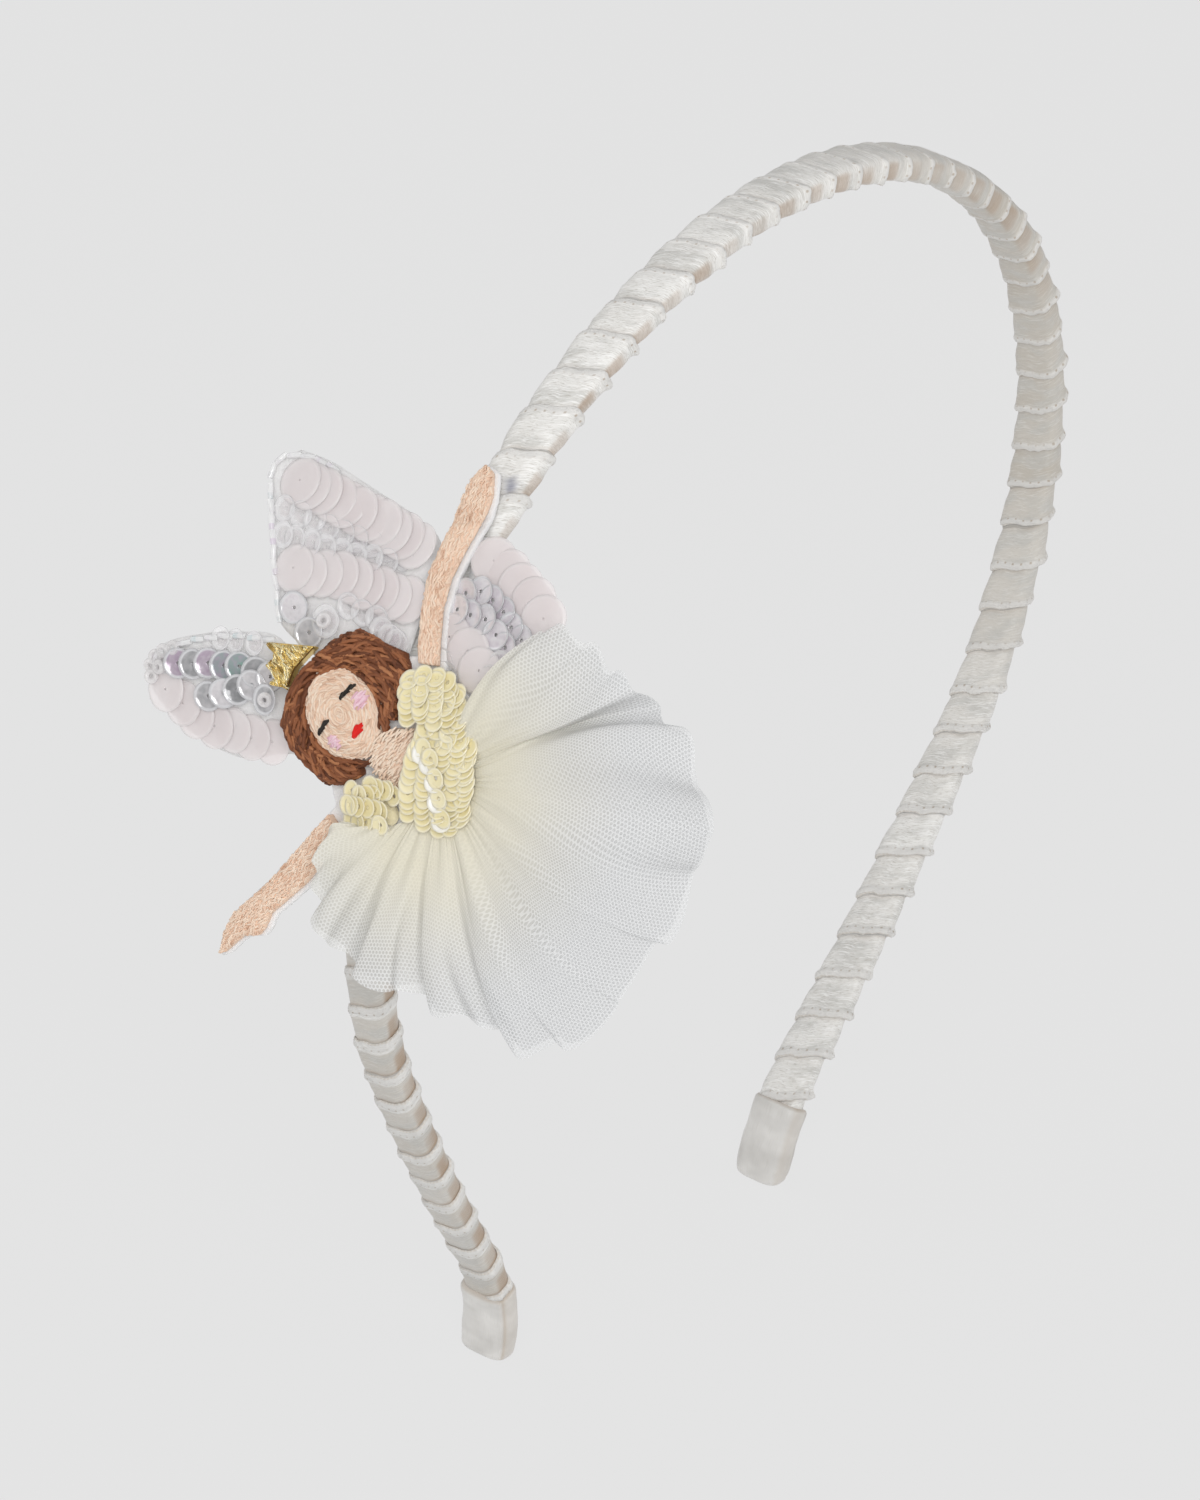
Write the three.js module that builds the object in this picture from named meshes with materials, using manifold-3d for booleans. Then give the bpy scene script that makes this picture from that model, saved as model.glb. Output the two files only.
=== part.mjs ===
// Fairy headband: a hair band wound with satin ribbon, and a sewn fairy on its left side.
// Millimetres. +Z is up, X runs across the head and -Y is the front, towards the face.
import * as THREE from "three";
import { mergeVertices } from "three/addons/utils/BufferGeometryUtils.js";
import Module from "manifold-3d";

const wasm = await Module();
wasm.setup();

const GAP = 0.3;

// Band: half of the centre line, as arcs from the crown down to a tip
const BAND_ARCS = [
  { stretch: "crown", radius: 71.2, turn: 36.5 },
  { stretch: "side", radius: 54.3, turn: 86.5 },
  { stretch: "leg", radius: 354, turn: 6.3 },
  { stretch: "flare", radius: 22, turn: -39.3 },
];
const BAND_WIDTH = 4.9;
const BAND_THICKNESS = 2.95;
const BAND_SIDES = 10;

// Ribbon: each turn rises from the edge that its neighbour covers to its own free edge
const RIBBON_PITCH = 5.25;
const RIBBON_STEP = 0.28;
const RIBBON_TURN = [
  { across: 0, lift: 0 },
  { across: 0.9, lift: RIBBON_STEP },
];

// Tip caps: folded ribbon over the bare ends of the band
const CAP_LENGTH = 9;
const CAP_WIDTH = 6;
const CAP_THICKNESS = 4.1;
const CAP_WALL = 0.6;
const CAP_STEPS = 4;

// Fairy: u runs to the front, v up along the band and h out from it.
// Above v = 0 the layers follow the curve of the band, below it they are flat.
const FAIRY_ANGLE = 76.9;
const WING_FELT = 1.0;
const BACKING_BASE = WING_FELT + GAP;
const BACKING_FELT = 0.8;
const THREAD_BASE = BACKING_BASE + BACKING_FELT + GAP;
const THREAD_RISE = 1.0;
const FACE_RISE = 1.2;
const FEATURE_RISE = 0.4;
const SEQUIN_THICKNESS = 0.5;
const SEQUIN_STAGGER = 0.35;
const WING_SEQUIN_BASE = WING_FELT + GAP;
const DRESS_SEQUIN_BASE = THREAD_BASE + THREAD_RISE + GAP;

const WINGS = {
  wing_right_upper: [
    { left: [-9, 5.2], right: [-0.6, 9.5] },
    { left: [-15.6, 7.2], right: [-1, 14] },
    { left: [-17.6, 10.4], right: [-2, 20.6] },
    { left: [-19.3, 13.8], right: [-5.5, 22.5] },
    { left: [-21, 17], right: [-11.5, 23.5] },
    { left: [-22.9, 20], right: [-17.5, 24.4] },
    { left: [-23.9, 22.2], right: [-21.6, 24.4] },
  ],
  wing_left_upper: [
    { left: [-8, -4], right: [-9.5, 3.2] },
    { left: [-11.7, -5.2], right: [-12.8, 4.8] },
    { left: [-14.9, -7], right: [-16.2, 6] },
    { left: [-18.5, -7.4], right: [-20, 5] },
    { left: [-22.5, -6.9], right: [-23.5, 3.6] },
    { left: [-27.5, -5], right: [-27.5, 1.4] },
    { left: [-29.7, -2.6], right: [-29.5, -0.6] },
  ],
  wing_right_lower: [
    { left: [4.5, 7.5], right: [8.8, 6.8] },
    { left: [3.4, 11], right: [10.6, 11.3] },
    { left: [2.8, 14.5], right: [12.9, 15.2] },
    { left: [2.5, 18], right: [14.1, 18] },
    { left: [2, 20.5], right: [12.9, 20.1] },
    { left: [1.2, 22.4], right: [9.5, 21.9] },
    { left: [1.5, 23.3], right: [4.5, 24] },
  ],
};

const SEQUIN_ROWS = {
  wing_right_upper: [
    { from: [-18.9, 21.1], to: [-4.3, 19.9], count: 6, size: 4.8 },
    { from: [-18.4, 18], to: [-5.4, 18], count: 5, size: 3 },
    { from: [-17, 15.8], to: [-6.4, 16.6], count: 4, size: 3 },
    { from: [-15.3, 13.2], to: [-2.9, 14.4], count: 5, size: 4.7 },
    { from: [-14.4, 9.9], to: [-2.6, 11.4], count: 5, size: 3 },
  ],
  wing_left_upper: [
    { from: [-27, -1], to: [-16, 3.1], count: 6, size: 2.9 },
    { from: [-21.5, -1.7], to: [-13.6, 1.7], count: 5, size: 2.9 },
    { from: [-24.7, -4.4], to: [-13, -4.4], count: 4, size: 4.8 },
  ],
  wing_right_lower: [
    { from: [4.5, 21.2], to: [11.9, 17.9], count: 3, size: 4.9 },
    { from: [4.2, 17.9], to: [10.8, 15.2], count: 4, size: 2.9 },
    { from: [4.4, 15.6], to: [9.6, 13.7], count: 3, size: 2.9 },
    { from: [5.8, 12.2], to: [8.4, 11.4], count: 2, size: 4.2 },
  ],
  bodice: [
    { from: [5.6, 3.3], to: [10.7, 3.3], count: 3, size: 2.6 },
    { from: [5.9, 1.1], to: [11.7, 1.1], count: 4, size: 2.6 },
    { from: [5.8, -1.2], to: [11.8, -1.2], count: 4, size: 2.6 },
    { from: [5.6, -3.5], to: [10.4, -3.5], count: 3, size: 2.6 },
  ],
  sleeve_right: [
    { from: [3.1, 5.4], to: [7.8, 6], count: 3, size: 2.6 },
    { from: [3, 7.2], to: [7.5, 7.6], count: 3, size: 2.6 },
  ],
  sleeve_left: [
    { from: [-0.3, -6.6], to: [4.1, -6.8], count: 3, size: 2.6 },
    { from: [0.8, -4.8], to: [3.3, -5.1], count: 2, size: 2.6 },
  ],
};

// Each arm runs from the shoulder to the finger tips. drop lowers the raised hand to the band.
const ARMS = {
  arm_raised: [
    { left: [2, 9.5], right: [4.3, 10], drop: 0 },
    { left: [1, 11.6], right: [3.4, 12.2], drop: 0 },
    { left: [0, 14.6], right: [2.3, 15.2], drop: 0 },
    { left: [-0.8, 17.8], right: [1.8, 18.2], drop: 0 },
    { left: [-0.9, 20.2], right: [1.9, 20.6], drop: 0 },
    { left: [-0.8, 23], right: [2, 23.4], drop: 0.1 },
    { left: [-1.7, 25.8], right: [1.6, 25.4], drop: 1 },
    { left: [-2, 27.9], right: [1, 27.5], drop: 1.2 },
    { left: [-1.2, 29.9], right: [-0.2, 29.7], drop: 1.2 },
  ],
  arm_lowered: [
    { left: [-3, -8.2], right: [-0.7, -9.6], drop: 0 },
    { left: [-4.4, -10.8], right: [-1.9, -12.3], drop: 0 },
    { left: [-6.2, -14.4], right: [-3.6, -16], drop: 0 },
    { left: [-7.9, -17.7], right: [-5.3, -18.6], drop: 0 },
    { left: [-9.5, -20.1], right: [-6.7, -20.6], drop: 0 },
    { left: [-10.8, -22], right: [-6.9, -22.2], drop: 0 },
    { left: [-11.2, -23.4], right: [-7.4, -23.3], drop: 0 },
    { left: [-11.3, -24.4], right: [-9, -23.9], drop: 0 },
    { left: [-11.2, -25.4], right: [-9.8, -25], drop: 0 },
    { left: [-11, -26.6], right: [-10.7, -26.4], drop: 0 },
  ],
};
const ARM_RIM = 0.4;
const BODY_BACKING = [
  { left: [-9.6, 1], right: [-9.2, 4.6] },
  { left: [-8, -2.6], right: [-7, 7.4] },
  { left: [-5, -4.2], right: [-4.6, 9] },
  { left: [-2.2, -8.6], right: [-1.4, 9] },
  { left: [0.6, -9], right: [2, 10.4] },
  { left: [4, -7.4], right: [4.6, 9.6] },
  { left: [8, -4], right: [8, 4.6] },
  { left: [11, -2], right: [11, 2.6] },
];
const NECK = [
  { left: [0.8, 1.6], right: [0.5, -1] },
  { left: [2.1, 2.7], right: [1.5, -2.2] },
  { left: [3.9, 3.2], right: [3.2, -2.4] },
  { left: [4.6, 2], right: [4.6, -1.2] },
];

// Hair: a bob round the face, open at the neck
const FACE = { at: [-4.4, 2], along: 4.9, across: 4.3, tilt: -25 };
const HAIR = [
  { angle: 14, inner: 5.2, outer: 6.4 },
  { angle: 30, inner: 5.0, outer: 6.8 },
  { angle: 46, inner: 4.8, outer: 8.6 },
  { angle: 60, inner: 4.7, outer: 9.2 },
  { angle: 78, inner: 4.7, outer: 8.2 },
  { angle: 98, inner: 4.8, outer: 8.4 },
  { angle: 118, inner: 5.0, outer: 7.5 },
  { angle: 140, inner: 5.2, outer: 6.5 },
  { angle: 162, inner: 5.3, outer: 6.4 },
  { angle: 185, inner: 5.0, outer: 6.8 },
  { angle: 208, inner: 4.8, outer: 7.4 },
  { angle: 228, inner: 4.7, outer: 7.2 },
  { angle: 250, inner: 4.7, outer: 6.9 },
  { angle: 272, inner: 4.8, outer: 7.3 },
  { angle: 290, inner: 5.0, outer: 7.0 },
  { angle: 310, inner: 5.3, outer: 6.4 },
];
const FEATURES = [
  { name: "eye_right", at: [-4.4, 4.3], along: 1.1, across: 0.35, tilt: 64, colour: 0x15120f },
  { name: "eye_left", at: [-5.9, 0.1], along: 1.1, across: 0.35, tilt: 68, colour: 0x15120f },
  { name: "cheek_right", at: [-2.7, 4.1], along: 0.9, across: 0.75, tilt: 60, colour: 0xe6a9b8 },
  { name: "cheek_left", at: [-4.2, -0.8], along: 0.9, across: 0.75, tilt: 60, colour: 0xe6a9b8 },
  { name: "mouth", at: [-1.9, 1.2], along: 1.0, across: 0.4, tilt: 70, colour: 0xd8120f },
];
const CROWN_OUTLINE = [
  [-9.7, 7.1], [-15.2, 5.6], [-13.7, 4.7], [-14.4, 3.6], [-13, 2.9], [-13.5, 1.8], [-11.4, 2.2], [-11.2, 4.2],
];
const CROWN_DEPTH = 1.1;
const DRESS_CORES = {
  bodice: { at: [8.6, -0.1], along: 3.5, across: 4.2, tilt: 0 },
  sleeve_right: { at: [5.3, 6.5], along: 2.4, across: 1.1, tilt: 5 },
  sleeve_left: { at: [2.2, -5.8], along: 2, across: 1.2, tilt: 0 },
};

// Skirt: flutes round the waist, each with its start and reach from the waist's centre and its hem's height
const WAIST = { at: [7.9, -0.2], radius: 5, slope: 0.25 };
const SKIRT_WALL = 1;
const SKIRT_FOLDS = [
  { angle: 72, start: 5, reach: 17.5, height: 4.2 },
  { angle: 62, start: 5, reach: 19.6, height: 6.2 },
  { angle: 47, start: 5, reach: 22.4, height: 4.2 },
  { angle: 31, start: 5, reach: 29.2, height: 7.5 },
  { angle: 18, start: 5, reach: 31.4, height: 4.5 },
  { angle: 6, start: 5, reach: 33.6, height: 7.5 },
  { angle: -8, start: 5, reach: 31.4, height: 4.5 },
  { angle: -20, start: 5, reach: 31, height: 6.5 },
  { angle: -34, start: 5, reach: 30.6, height: 4.5 },
  { angle: -46, start: 5, reach: 29.3, height: 7.5 },
  { angle: -57, start: 5, reach: 24, height: 4.5 },
  { angle: -74, start: 5, reach: 21.8, height: 7 },
  { angle: -88, start: 5, reach: 21.8, height: 4.5 },
  { angle: -104, start: 7.5, reach: 20.5, height: 7 },
  { angle: -115, start: 9.5, reach: 19, height: 4.6 },
  { angle: -124, start: 10.6, reach: 15.2, height: 6.5 },
  { angle: -133, start: 11.6, reach: 13.2, height: 4.4 },
];
const SKIRT_STEPS_PER_FOLD = 3;
const SKIRT_RINGS = 5;

const HALF_LENGTH = BAND_ARCS.reduce((sum, arc) => sum + arc.radius * Math.abs(radians(arc.turn)), 0);
const WOUND_END = HALF_LENGTH - CAP_LENGTH - GAP;
const PLUG_END = HALF_LENGTH - CAP_WALL - GAP;
const CROWN_HEIGHT = -alongArcs(HALF_LENGTH).z;

function radians(degrees) {
  return THREE.MathUtils.degToRad(degrees);
}

// Point of the half centre line, from the crown, with the angle of its outward normal from vertical
function alongArcs(distance) {
  let rest = distance;
  let angle = 0;
  let x = 0;
  let z = 0;
  for (const { radius, turn } of BAND_ARCS) {
    const sweep = radians(turn);
    const length = radius * Math.abs(sweep);
    const share = Math.min(rest, length) / length;
    const bend = radius * Math.sign(sweep);
    const next = angle + sweep * share;
    x += bend * (Math.sin(next) - Math.sin(angle));
    z += bend * (Math.cos(next) - Math.cos(angle));
    angle = next;
    rest -= length * share;
  }
  return { x, z, angle };
}

// Point beside the centre line. The distance is negative on the fairy's side.
function bandPoint(distance, y, out) {
  const { x, z, angle } = alongArcs(Math.abs(distance));
  const side = Math.sign(distance);
  return new THREE.Vector3(side * (x + out * Math.sin(angle)), y, CROWN_HEIGHT + z + out * Math.cos(angle));
}

// Rounded rectangle of the band: the turn starts at the back and runs over the outer face
function section(turn, halfWidth, halfThickness) {
  const cos = Math.cos(turn);
  const sin = Math.sin(turn);
  return {
    y: halfWidth * Math.sign(cos) * Math.sqrt(Math.abs(cos)),
    out: halfThickness * Math.sign(sin) * Math.sqrt(Math.abs(sin)),
  };
}

function sectionRing(distance, width, thickness) {
  const ring = [];
  for (let side = 0; side < BAND_SIDES; side += 1) {
    const { y, out } = section((2 * Math.PI * side) / BAND_SIDES, width / 2, thickness / 2);
    ring.push(bandPoint(distance, y, out));
  }
  return ring;
}

// Closed solid from points and faces, with repeated points merged and its faces turned outwards
function solid(points, faces) {
  const raw = new THREE.BufferGeometry().setFromPoints(points);
  raw.setIndex(faces);
  const geometry = mergeVertices(raw, 1e-3);
  const at = geometry.getAttribute("position");
  const index = geometry.getIndex().array;
  const kept = [];
  let volume = 0;
  const corner = [new THREE.Vector3(), new THREE.Vector3(), new THREE.Vector3()];
  for (let face = 0; face < index.length; face += 3) {
    const ids = [index[face], index[face + 1], index[face + 2]];
    if (new Set(ids).size === 3) {
      kept.push(...ids);
      ids.forEach((id, place) => corner[place].fromBufferAttribute(at, id));
      volume += corner[0].dot(corner[1].clone().cross(corner[2]));
    }
  }
  geometry.setIndex(volume < 0 ? kept.reverse() : kept);
  return geometry;
}

function quad(faces, a, b, c, d) {
  faces.push(a, b, c, a, c, d);
}

// Solid through rings of equally many points, closed at both ends
function loft(rings) {
  const count = rings[0].length;
  const points = rings.flat();
  const faces = [];
  for (let ring = 0; ring + 1 < rings.length; ring += 1) {
    for (let side = 0; side < count; side += 1) {
      const next = (side + 1) % count;
      const here = ring * count;
      const there = here + count;
      quad(faces, here + side, here + next, there + next, there + side);
    }
  }
  closeEnd(faces, count, 0, true);
  closeEnd(faces, count, (rings.length - 1) * count, false);
  return solid(points, faces);
}

// Faces of a convex end ring, which starts at a given point of the solid
function closeEnd(faces, count, start, first) {
  for (let side = 1; side + 1 < count; side += 1) {
    const here = start + side;
    faces.push(start, first ? here + 1 : here, first ? here : here + 1);
  }
}

// Solid between two grids of points, such as the lower and upper faces of a sheet
function slab(lower, upper) {
  const columns = lower[0].length;
  const points = [...lower.flat(), ...upper.flat()];
  const faces = [];
  const low = (row, column) => row * columns + column;
  const top = (row, column) => lower.length * columns + low(row, column);
  const lastRow = lower.length - 1;
  const lastColumn = columns - 1;
  for (let row = 0; row < lastRow; row += 1) {
    for (let column = 0; column < lastColumn; column += 1) {
      quad(faces, top(row, column), top(row, column + 1), top(row + 1, column + 1), top(row + 1, column));
      quad(faces, low(row, column), low(row + 1, column), low(row + 1, column + 1), low(row, column + 1));
    }
    quad(faces, top(row, 0), top(row + 1, 0), low(row + 1, 0), low(row, 0));
    quad(faces, top(row + 1, lastColumn), top(row, lastColumn), low(row, lastColumn), low(row + 1, lastColumn));
  }
  for (let column = 0; column < lastColumn; column += 1) {
    quad(faces, top(0, column + 1), top(0, column), low(0, column), low(0, column + 1));
    quad(faces, top(lastRow, column), top(lastRow, column + 1), low(lastRow, column + 1), low(lastRow, column));
  }
  return solid(points, faces);
}

function toManifold(geometry) {
  const mesh = new wasm.Mesh({
    numProp: 3,
    vertProperties: new Float32Array(geometry.getAttribute("position").array),
    triVerts: new Uint32Array(geometry.getIndex().array),
  });
  return new wasm.Manifold(mesh);
}

function fromManifold(manifold) {
  const mesh = manifold.getMesh();
  const geometry = new THREE.BufferGeometry();
  geometry.setAttribute("position", new THREE.BufferAttribute(new Float32Array(mesh.vertProperties), 3));
  geometry.setIndex([...mesh.triVerts]);
  return geometry;
}

function join(geometries) {
  return geometries.map(toManifold).reduce((whole, piece) => whole.add(piece));
}

function cut(geometry, tool) {
  return fromManifold(toManifold(geometry).subtract(toManifold(tool)));
}

// The wound band: one helix of ribbon, with a bare plug at each end inside its cap
function bandGeometry() {
  const rowsPerTurn = RIBBON_TURN.length;
  const firstTurn = Math.floor(-WOUND_END / RIBBON_PITCH) - 2;
  const rowCount = rowsPerTurn * (2 - 2 * firstTurn);
  const points = [];
  for (let row = 0; row < rowCount; row += 1) {
    const { across, lift } = RIBBON_TURN[row % rowsPerTurn];
    const turns = firstTurn + Math.floor(row / rowsPerTurn) + across;
    for (let side = 0; side < BAND_SIDES; side += 1) {
      points.push(ribbonPoint(turns, (2 * Math.PI * side) / BAND_SIDES, lift));
    }
  }
  const faces = [];
  const at = (row, side) => {
    const wrapped = row + (side === BAND_SIDES ? rowsPerTurn : 0);
    return Math.min(wrapped, rowCount - 1) * BAND_SIDES + (side % BAND_SIDES);
  };
  for (let row = 0; row + 1 < rowCount; row += 1) {
    for (let side = 0; side < BAND_SIDES; side += 1) {
      quad(faces, at(row, side), at(row, side + 1), at(row + 1, side + 1), at(row + 1, side));
    }
  }
  addPlug(points, faces, -1);
  addPlug(points, faces, 1);
  return solid(points, faces);
}

// The ribbon advances along the band mostly while it crosses the two wide faces
function ribbonPoint(turns, turn, lift) {
  const phase = (turn - 0.3 * Math.sin(2 * turn)) / (2 * Math.PI);
  const distance = RIBBON_PITCH * (turns + phase);
  const ended = Math.abs(distance) >= WOUND_END;
  const height = ended ? 0 : lift;
  const { y, out } = section(turn, BAND_WIDTH / 2 + height, BAND_THICKNESS / 2 + height);
  return bandPoint(THREE.MathUtils.clamp(distance, -WOUND_END, WOUND_END), y, out);
}

function addPlug(points, faces, side) {
  const width = CAP_WIDTH - 2 * (CAP_WALL + GAP);
  const thickness = CAP_THICKNESS - 2 * (CAP_WALL + GAP);
  const rings = [sectionRing(side * WOUND_END, BAND_WIDTH, BAND_THICKNESS)];
  for (let step = 0; step <= CAP_STEPS; step += 1) {
    const distance = THREE.MathUtils.lerp(WOUND_END, PLUG_END, step / CAP_STEPS);
    rings.push(sectionRing(side * distance, width, thickness));
  }
  const start = points.length;
  points.push(...rings.flat());
  for (let ring = 0; ring + 1 < rings.length; ring += 1) {
    for (let place = 0; place < BAND_SIDES; place += 1) {
      const here = start + ring * BAND_SIDES;
      const there = here + BAND_SIDES;
      const next = (place + 1) % BAND_SIDES;
      const [from, to] = side > 0 ? [here, there] : [there, here];
      quad(faces, from + place, from + next, to + next, to + place);
    }
  }
  closeEnd(faces, BAND_SIDES, start + (rings.length - 1) * BAND_SIDES, side < 0);
}

function capGeometry(side) {
  const outer = [];
  const pocket = [];
  const pocketTop = WOUND_END + GAP - 1;
  const pocketEnd = HALF_LENGTH - CAP_WALL;
  for (let step = 0; step <= CAP_STEPS; step += 1) {
    const outerAt = THREE.MathUtils.lerp(WOUND_END + GAP, HALF_LENGTH, step / CAP_STEPS);
    const pocketAt = THREE.MathUtils.lerp(pocketTop, pocketEnd, step / CAP_STEPS);
    outer.push(sectionRing(side * outerAt, CAP_WIDTH, CAP_THICKNESS));
    pocket.push(sectionRing(side * pocketAt, CAP_WIDTH - 2 * CAP_WALL, CAP_THICKNESS - 2 * CAP_WALL));
  }
  return cut(loft(outer), loft(pocket));
}

// Point of the fairy's layers over the left side of the band
function fairyPoint(u, v, h) {
  const [crown, side] = BAND_ARCS;
  const middle = alongArcs(crown.radius * radians(crown.turn));
  const base = side.radius + BAND_THICKNESS / 2 + RIBBON_STEP + GAP;
  const centreX = middle.x - side.radius * Math.sin(middle.angle);
  const centreZ = CROWN_HEIGHT + middle.z - side.radius * Math.cos(middle.angle);
  const angle = radians(FAIRY_ANGLE) - Math.max(v, 0) / base;
  const flat = Math.min(v, 0);
  const x = centreX + (base + h) * Math.sin(angle) - flat * Math.cos(angle);
  const z = centreZ + (base + h) * Math.cos(angle) + flat * Math.sin(angle);
  return new THREE.Vector3(-x, -u, z);
}

// Padded strip through rows that run from a left point to a right point
function strip(rows, { base, rise, edge, grow = 0, columns = 4 }) {
  const lower = [];
  const upper = [];
  for (const row of widen(rows, grow)) {
    const floor = base - (row.drop ?? 0) - grow;
    const lowerRow = [];
    const upperRow = [];
    for (let column = 0; column <= columns; column += 1) {
      const share = column / columns;
      const u = THREE.MathUtils.lerp(row.left[0], row.right[0], share);
      const v = THREE.MathUtils.lerp(row.left[1], row.right[1], share);
      const dome = edge + (1 - edge) * (1 - (2 * share - 1) ** 4) * (row.dome ?? 1);
      lowerRow.push(fairyPoint(u, v, floor));
      upperRow.push(fairyPoint(u, v, floor + rise * dome + 2 * grow));
    }
    lower.push(lowerRow);
    upper.push(upperRow);
  }
  return slab(lower, upper);
}

// Rows moved outwards by a margin, at their ends and at the two end rows
function widen(rows, grow) {
  const middle = (row) => new THREE.Vector2(...row.left).lerp(new THREE.Vector2(...row.right), 0.5);
  return rows.map((row, place) => {
    const left = new THREE.Vector2(...row.left);
    const right = new THREE.Vector2(...row.right);
    const out = right.clone().sub(left).setLength(grow);
    const inner = rows[place === 0 ? 1 : rows.length - 2];
    const isEnd = place === 0 || place === rows.length - 1;
    const away = isEnd ? middle(row).sub(middle(inner)).setLength(grow) : new THREE.Vector2();
    return { ...row, left: left.sub(out).add(away).toArray(), right: right.add(out).add(away).toArray() };
  });
}

// Rows of an oval, lower at its two ends
function ovalRows({ at, along, across, tilt }, count = 8) {
  const rows = [];
  const axis = new THREE.Vector2(Math.cos(radians(tilt)), Math.sin(radians(tilt)));
  const cross = new THREE.Vector2(-axis.y, axis.x);
  for (let row = 0; row <= count; row += 1) {
    const turn = (Math.PI * (row + 0.25)) / (count + 0.5);
    const middle = new THREE.Vector2(...at).addScaledVector(axis, -along * Math.cos(turn));
    const half = cross.clone().multiplyScalar(across * Math.sin(turn));
    rows.push({
      left: middle.clone().add(half).toArray(),
      right: middle.clone().sub(half).toArray(),
      dome: Math.sin(turn) ** 0.5,
    });
  }
  return rows;
}

function hairRows() {
  return HAIR.map(({ angle, inner, outer }) => {
    const direction = new THREE.Vector2(Math.cos(radians(angle)), Math.sin(radians(angle)));
    const centre = new THREE.Vector2(...FACE.at);
    return {
      left: centre.clone().addScaledVector(direction, inner).toArray(),
      right: centre.clone().addScaledVector(direction, outer).toArray(),
    };
  });
}

function disc(u, v, h, size) {
  const sides = 7;
  const rings = [h, h + SEQUIN_THICKNESS].map((height) => {
    const ring = [];
    for (let side = 0; side < sides; side += 1) {
      const turn = (2 * Math.PI * side) / sides;
      ring.push(fairyPoint(u + (size / 2) * Math.cos(turn), v + (size / 2) * Math.sin(turn), height));
    }
    return ring;
  });
  return loft(rings);
}

// Overlapping sequins, laid row by row and alternately low and high
function sequinDiscs(rows, base) {
  const discs = [];
  rows.forEach(({ from, to, count, size }, row) => {
    for (let place = 0; place < count; place += 1) {
      const share = count > 1 ? place / (count - 1) : 0;
      const u = THREE.MathUtils.lerp(from[0], to[0], share);
      const v = THREE.MathUtils.lerp(from[1], to[1], share);
      discs.push(disc(u, v, base + SEQUIN_STAGGER * ((place + row) % 2), size));
    }
  });
  return discs;
}

function backingPieces(grow) {
  const felt = { base: BACKING_BASE, rise: BACKING_FELT, edge: 1, grow };
  const arms = Object.values(ARMS).map((rows) => strip(widen(rows, ARM_RIM), { ...felt, columns: 2 }));
  return [strip(BODY_BACKING, felt), ...arms];
}

function wingSequins(name) {
  const field = join(sequinDiscs(SEQUIN_ROWS[name], WING_SEQUIN_BASE));
  return fromManifold(field.subtract(join(backingPieces(GAP))));
}

function dressGeometry(name) {
  const rise = DRESS_SEQUIN_BASE + SEQUIN_THICKNESS - THREAD_BASE;
  const core = strip(ovalRows(DRESS_CORES[name], 5), { base: THREAD_BASE, rise, edge: 1, columns: 2 });
  return fromManifold(join([core, ...sequinDiscs(SEQUIN_ROWS[name], DRESS_SEQUIN_BASE)]));
}

function crownGeometry() {
  const outline = new THREE.Shape(CROWN_OUTLINE.map(([u, v]) => new THREE.Vector2(u, v)));
  const raw = new THREE.ExtrudeGeometry(outline, { depth: CROWN_DEPTH, bevelEnabled: false });
  const at = raw.getAttribute("position");
  const points = [];
  for (let place = 0; place < at.count; place += 1) {
    points.push(fairyPoint(at.getX(place), at.getY(place), THREAD_BASE + at.getZ(place)));
  }
  return solid(points, [...points.keys()]);
}

// Start, reach and height of the skirt at a place along the folds, eased from fold to fold
function hemAt(place) {
  const fold = Math.min(Math.floor(place), SKIRT_FOLDS.length - 2);
  const ease = (1 - Math.cos(Math.PI * (place - fold))) / 2;
  const from = SKIRT_FOLDS[fold];
  const to = SKIRT_FOLDS[fold + 1];
  return {
    angle: radians(THREE.MathUtils.lerp(from.angle, to.angle, place - fold)),
    start: THREE.MathUtils.lerp(from.start, to.start, ease),
    reach: THREE.MathUtils.lerp(from.reach, to.reach, ease),
    height: THREE.MathUtils.lerp(from.height, to.height, ease),
  };
}

function skirtGeometry() {
  const lower = [];
  const upper = [];
  for (let step = 0; step <= SKIRT_STEPS_PER_FOLD * (SKIRT_FOLDS.length - 1); step += 1) {
    const { angle, start, reach, height } = hemAt(step / SKIRT_STEPS_PER_FOLD);
    const waistHeight = THREAD_BASE + WAIST.slope * (start - WAIST.radius);
    const lowerRow = [];
    const upperRow = [];
    for (let ring = 0; ring <= SKIRT_RINGS; ring += 1) {
      const share = ring / SKIRT_RINGS;
      const radius = THREE.MathUtils.lerp(start, reach, share);
      const u = WAIST.at[0] + radius * Math.cos(angle);
      const v = WAIST.at[1] + radius * Math.sin(angle);
      const h = THREE.MathUtils.lerp(waistHeight, height, Math.sin((share * Math.PI) / 2));
      lowerRow.push(fairyPoint(u, v, h));
      upperRow.push(fairyPoint(u, v, h + SKIRT_WALL));
    }
    lower.push(lowerRow);
    upper.push(upperRow);
  }
  return slab(lower, upper);
}

const headband = new THREE.Group();

function add(name, geometry, colour, roughness, metalness = 0) {
  const material = new THREE.MeshStandardMaterial({ color: colour, roughness, metalness });
  material.name = name;
  const mesh = new THREE.Mesh(geometry, material);
  mesh.name = name;
  headband.add(mesh);
}

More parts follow.
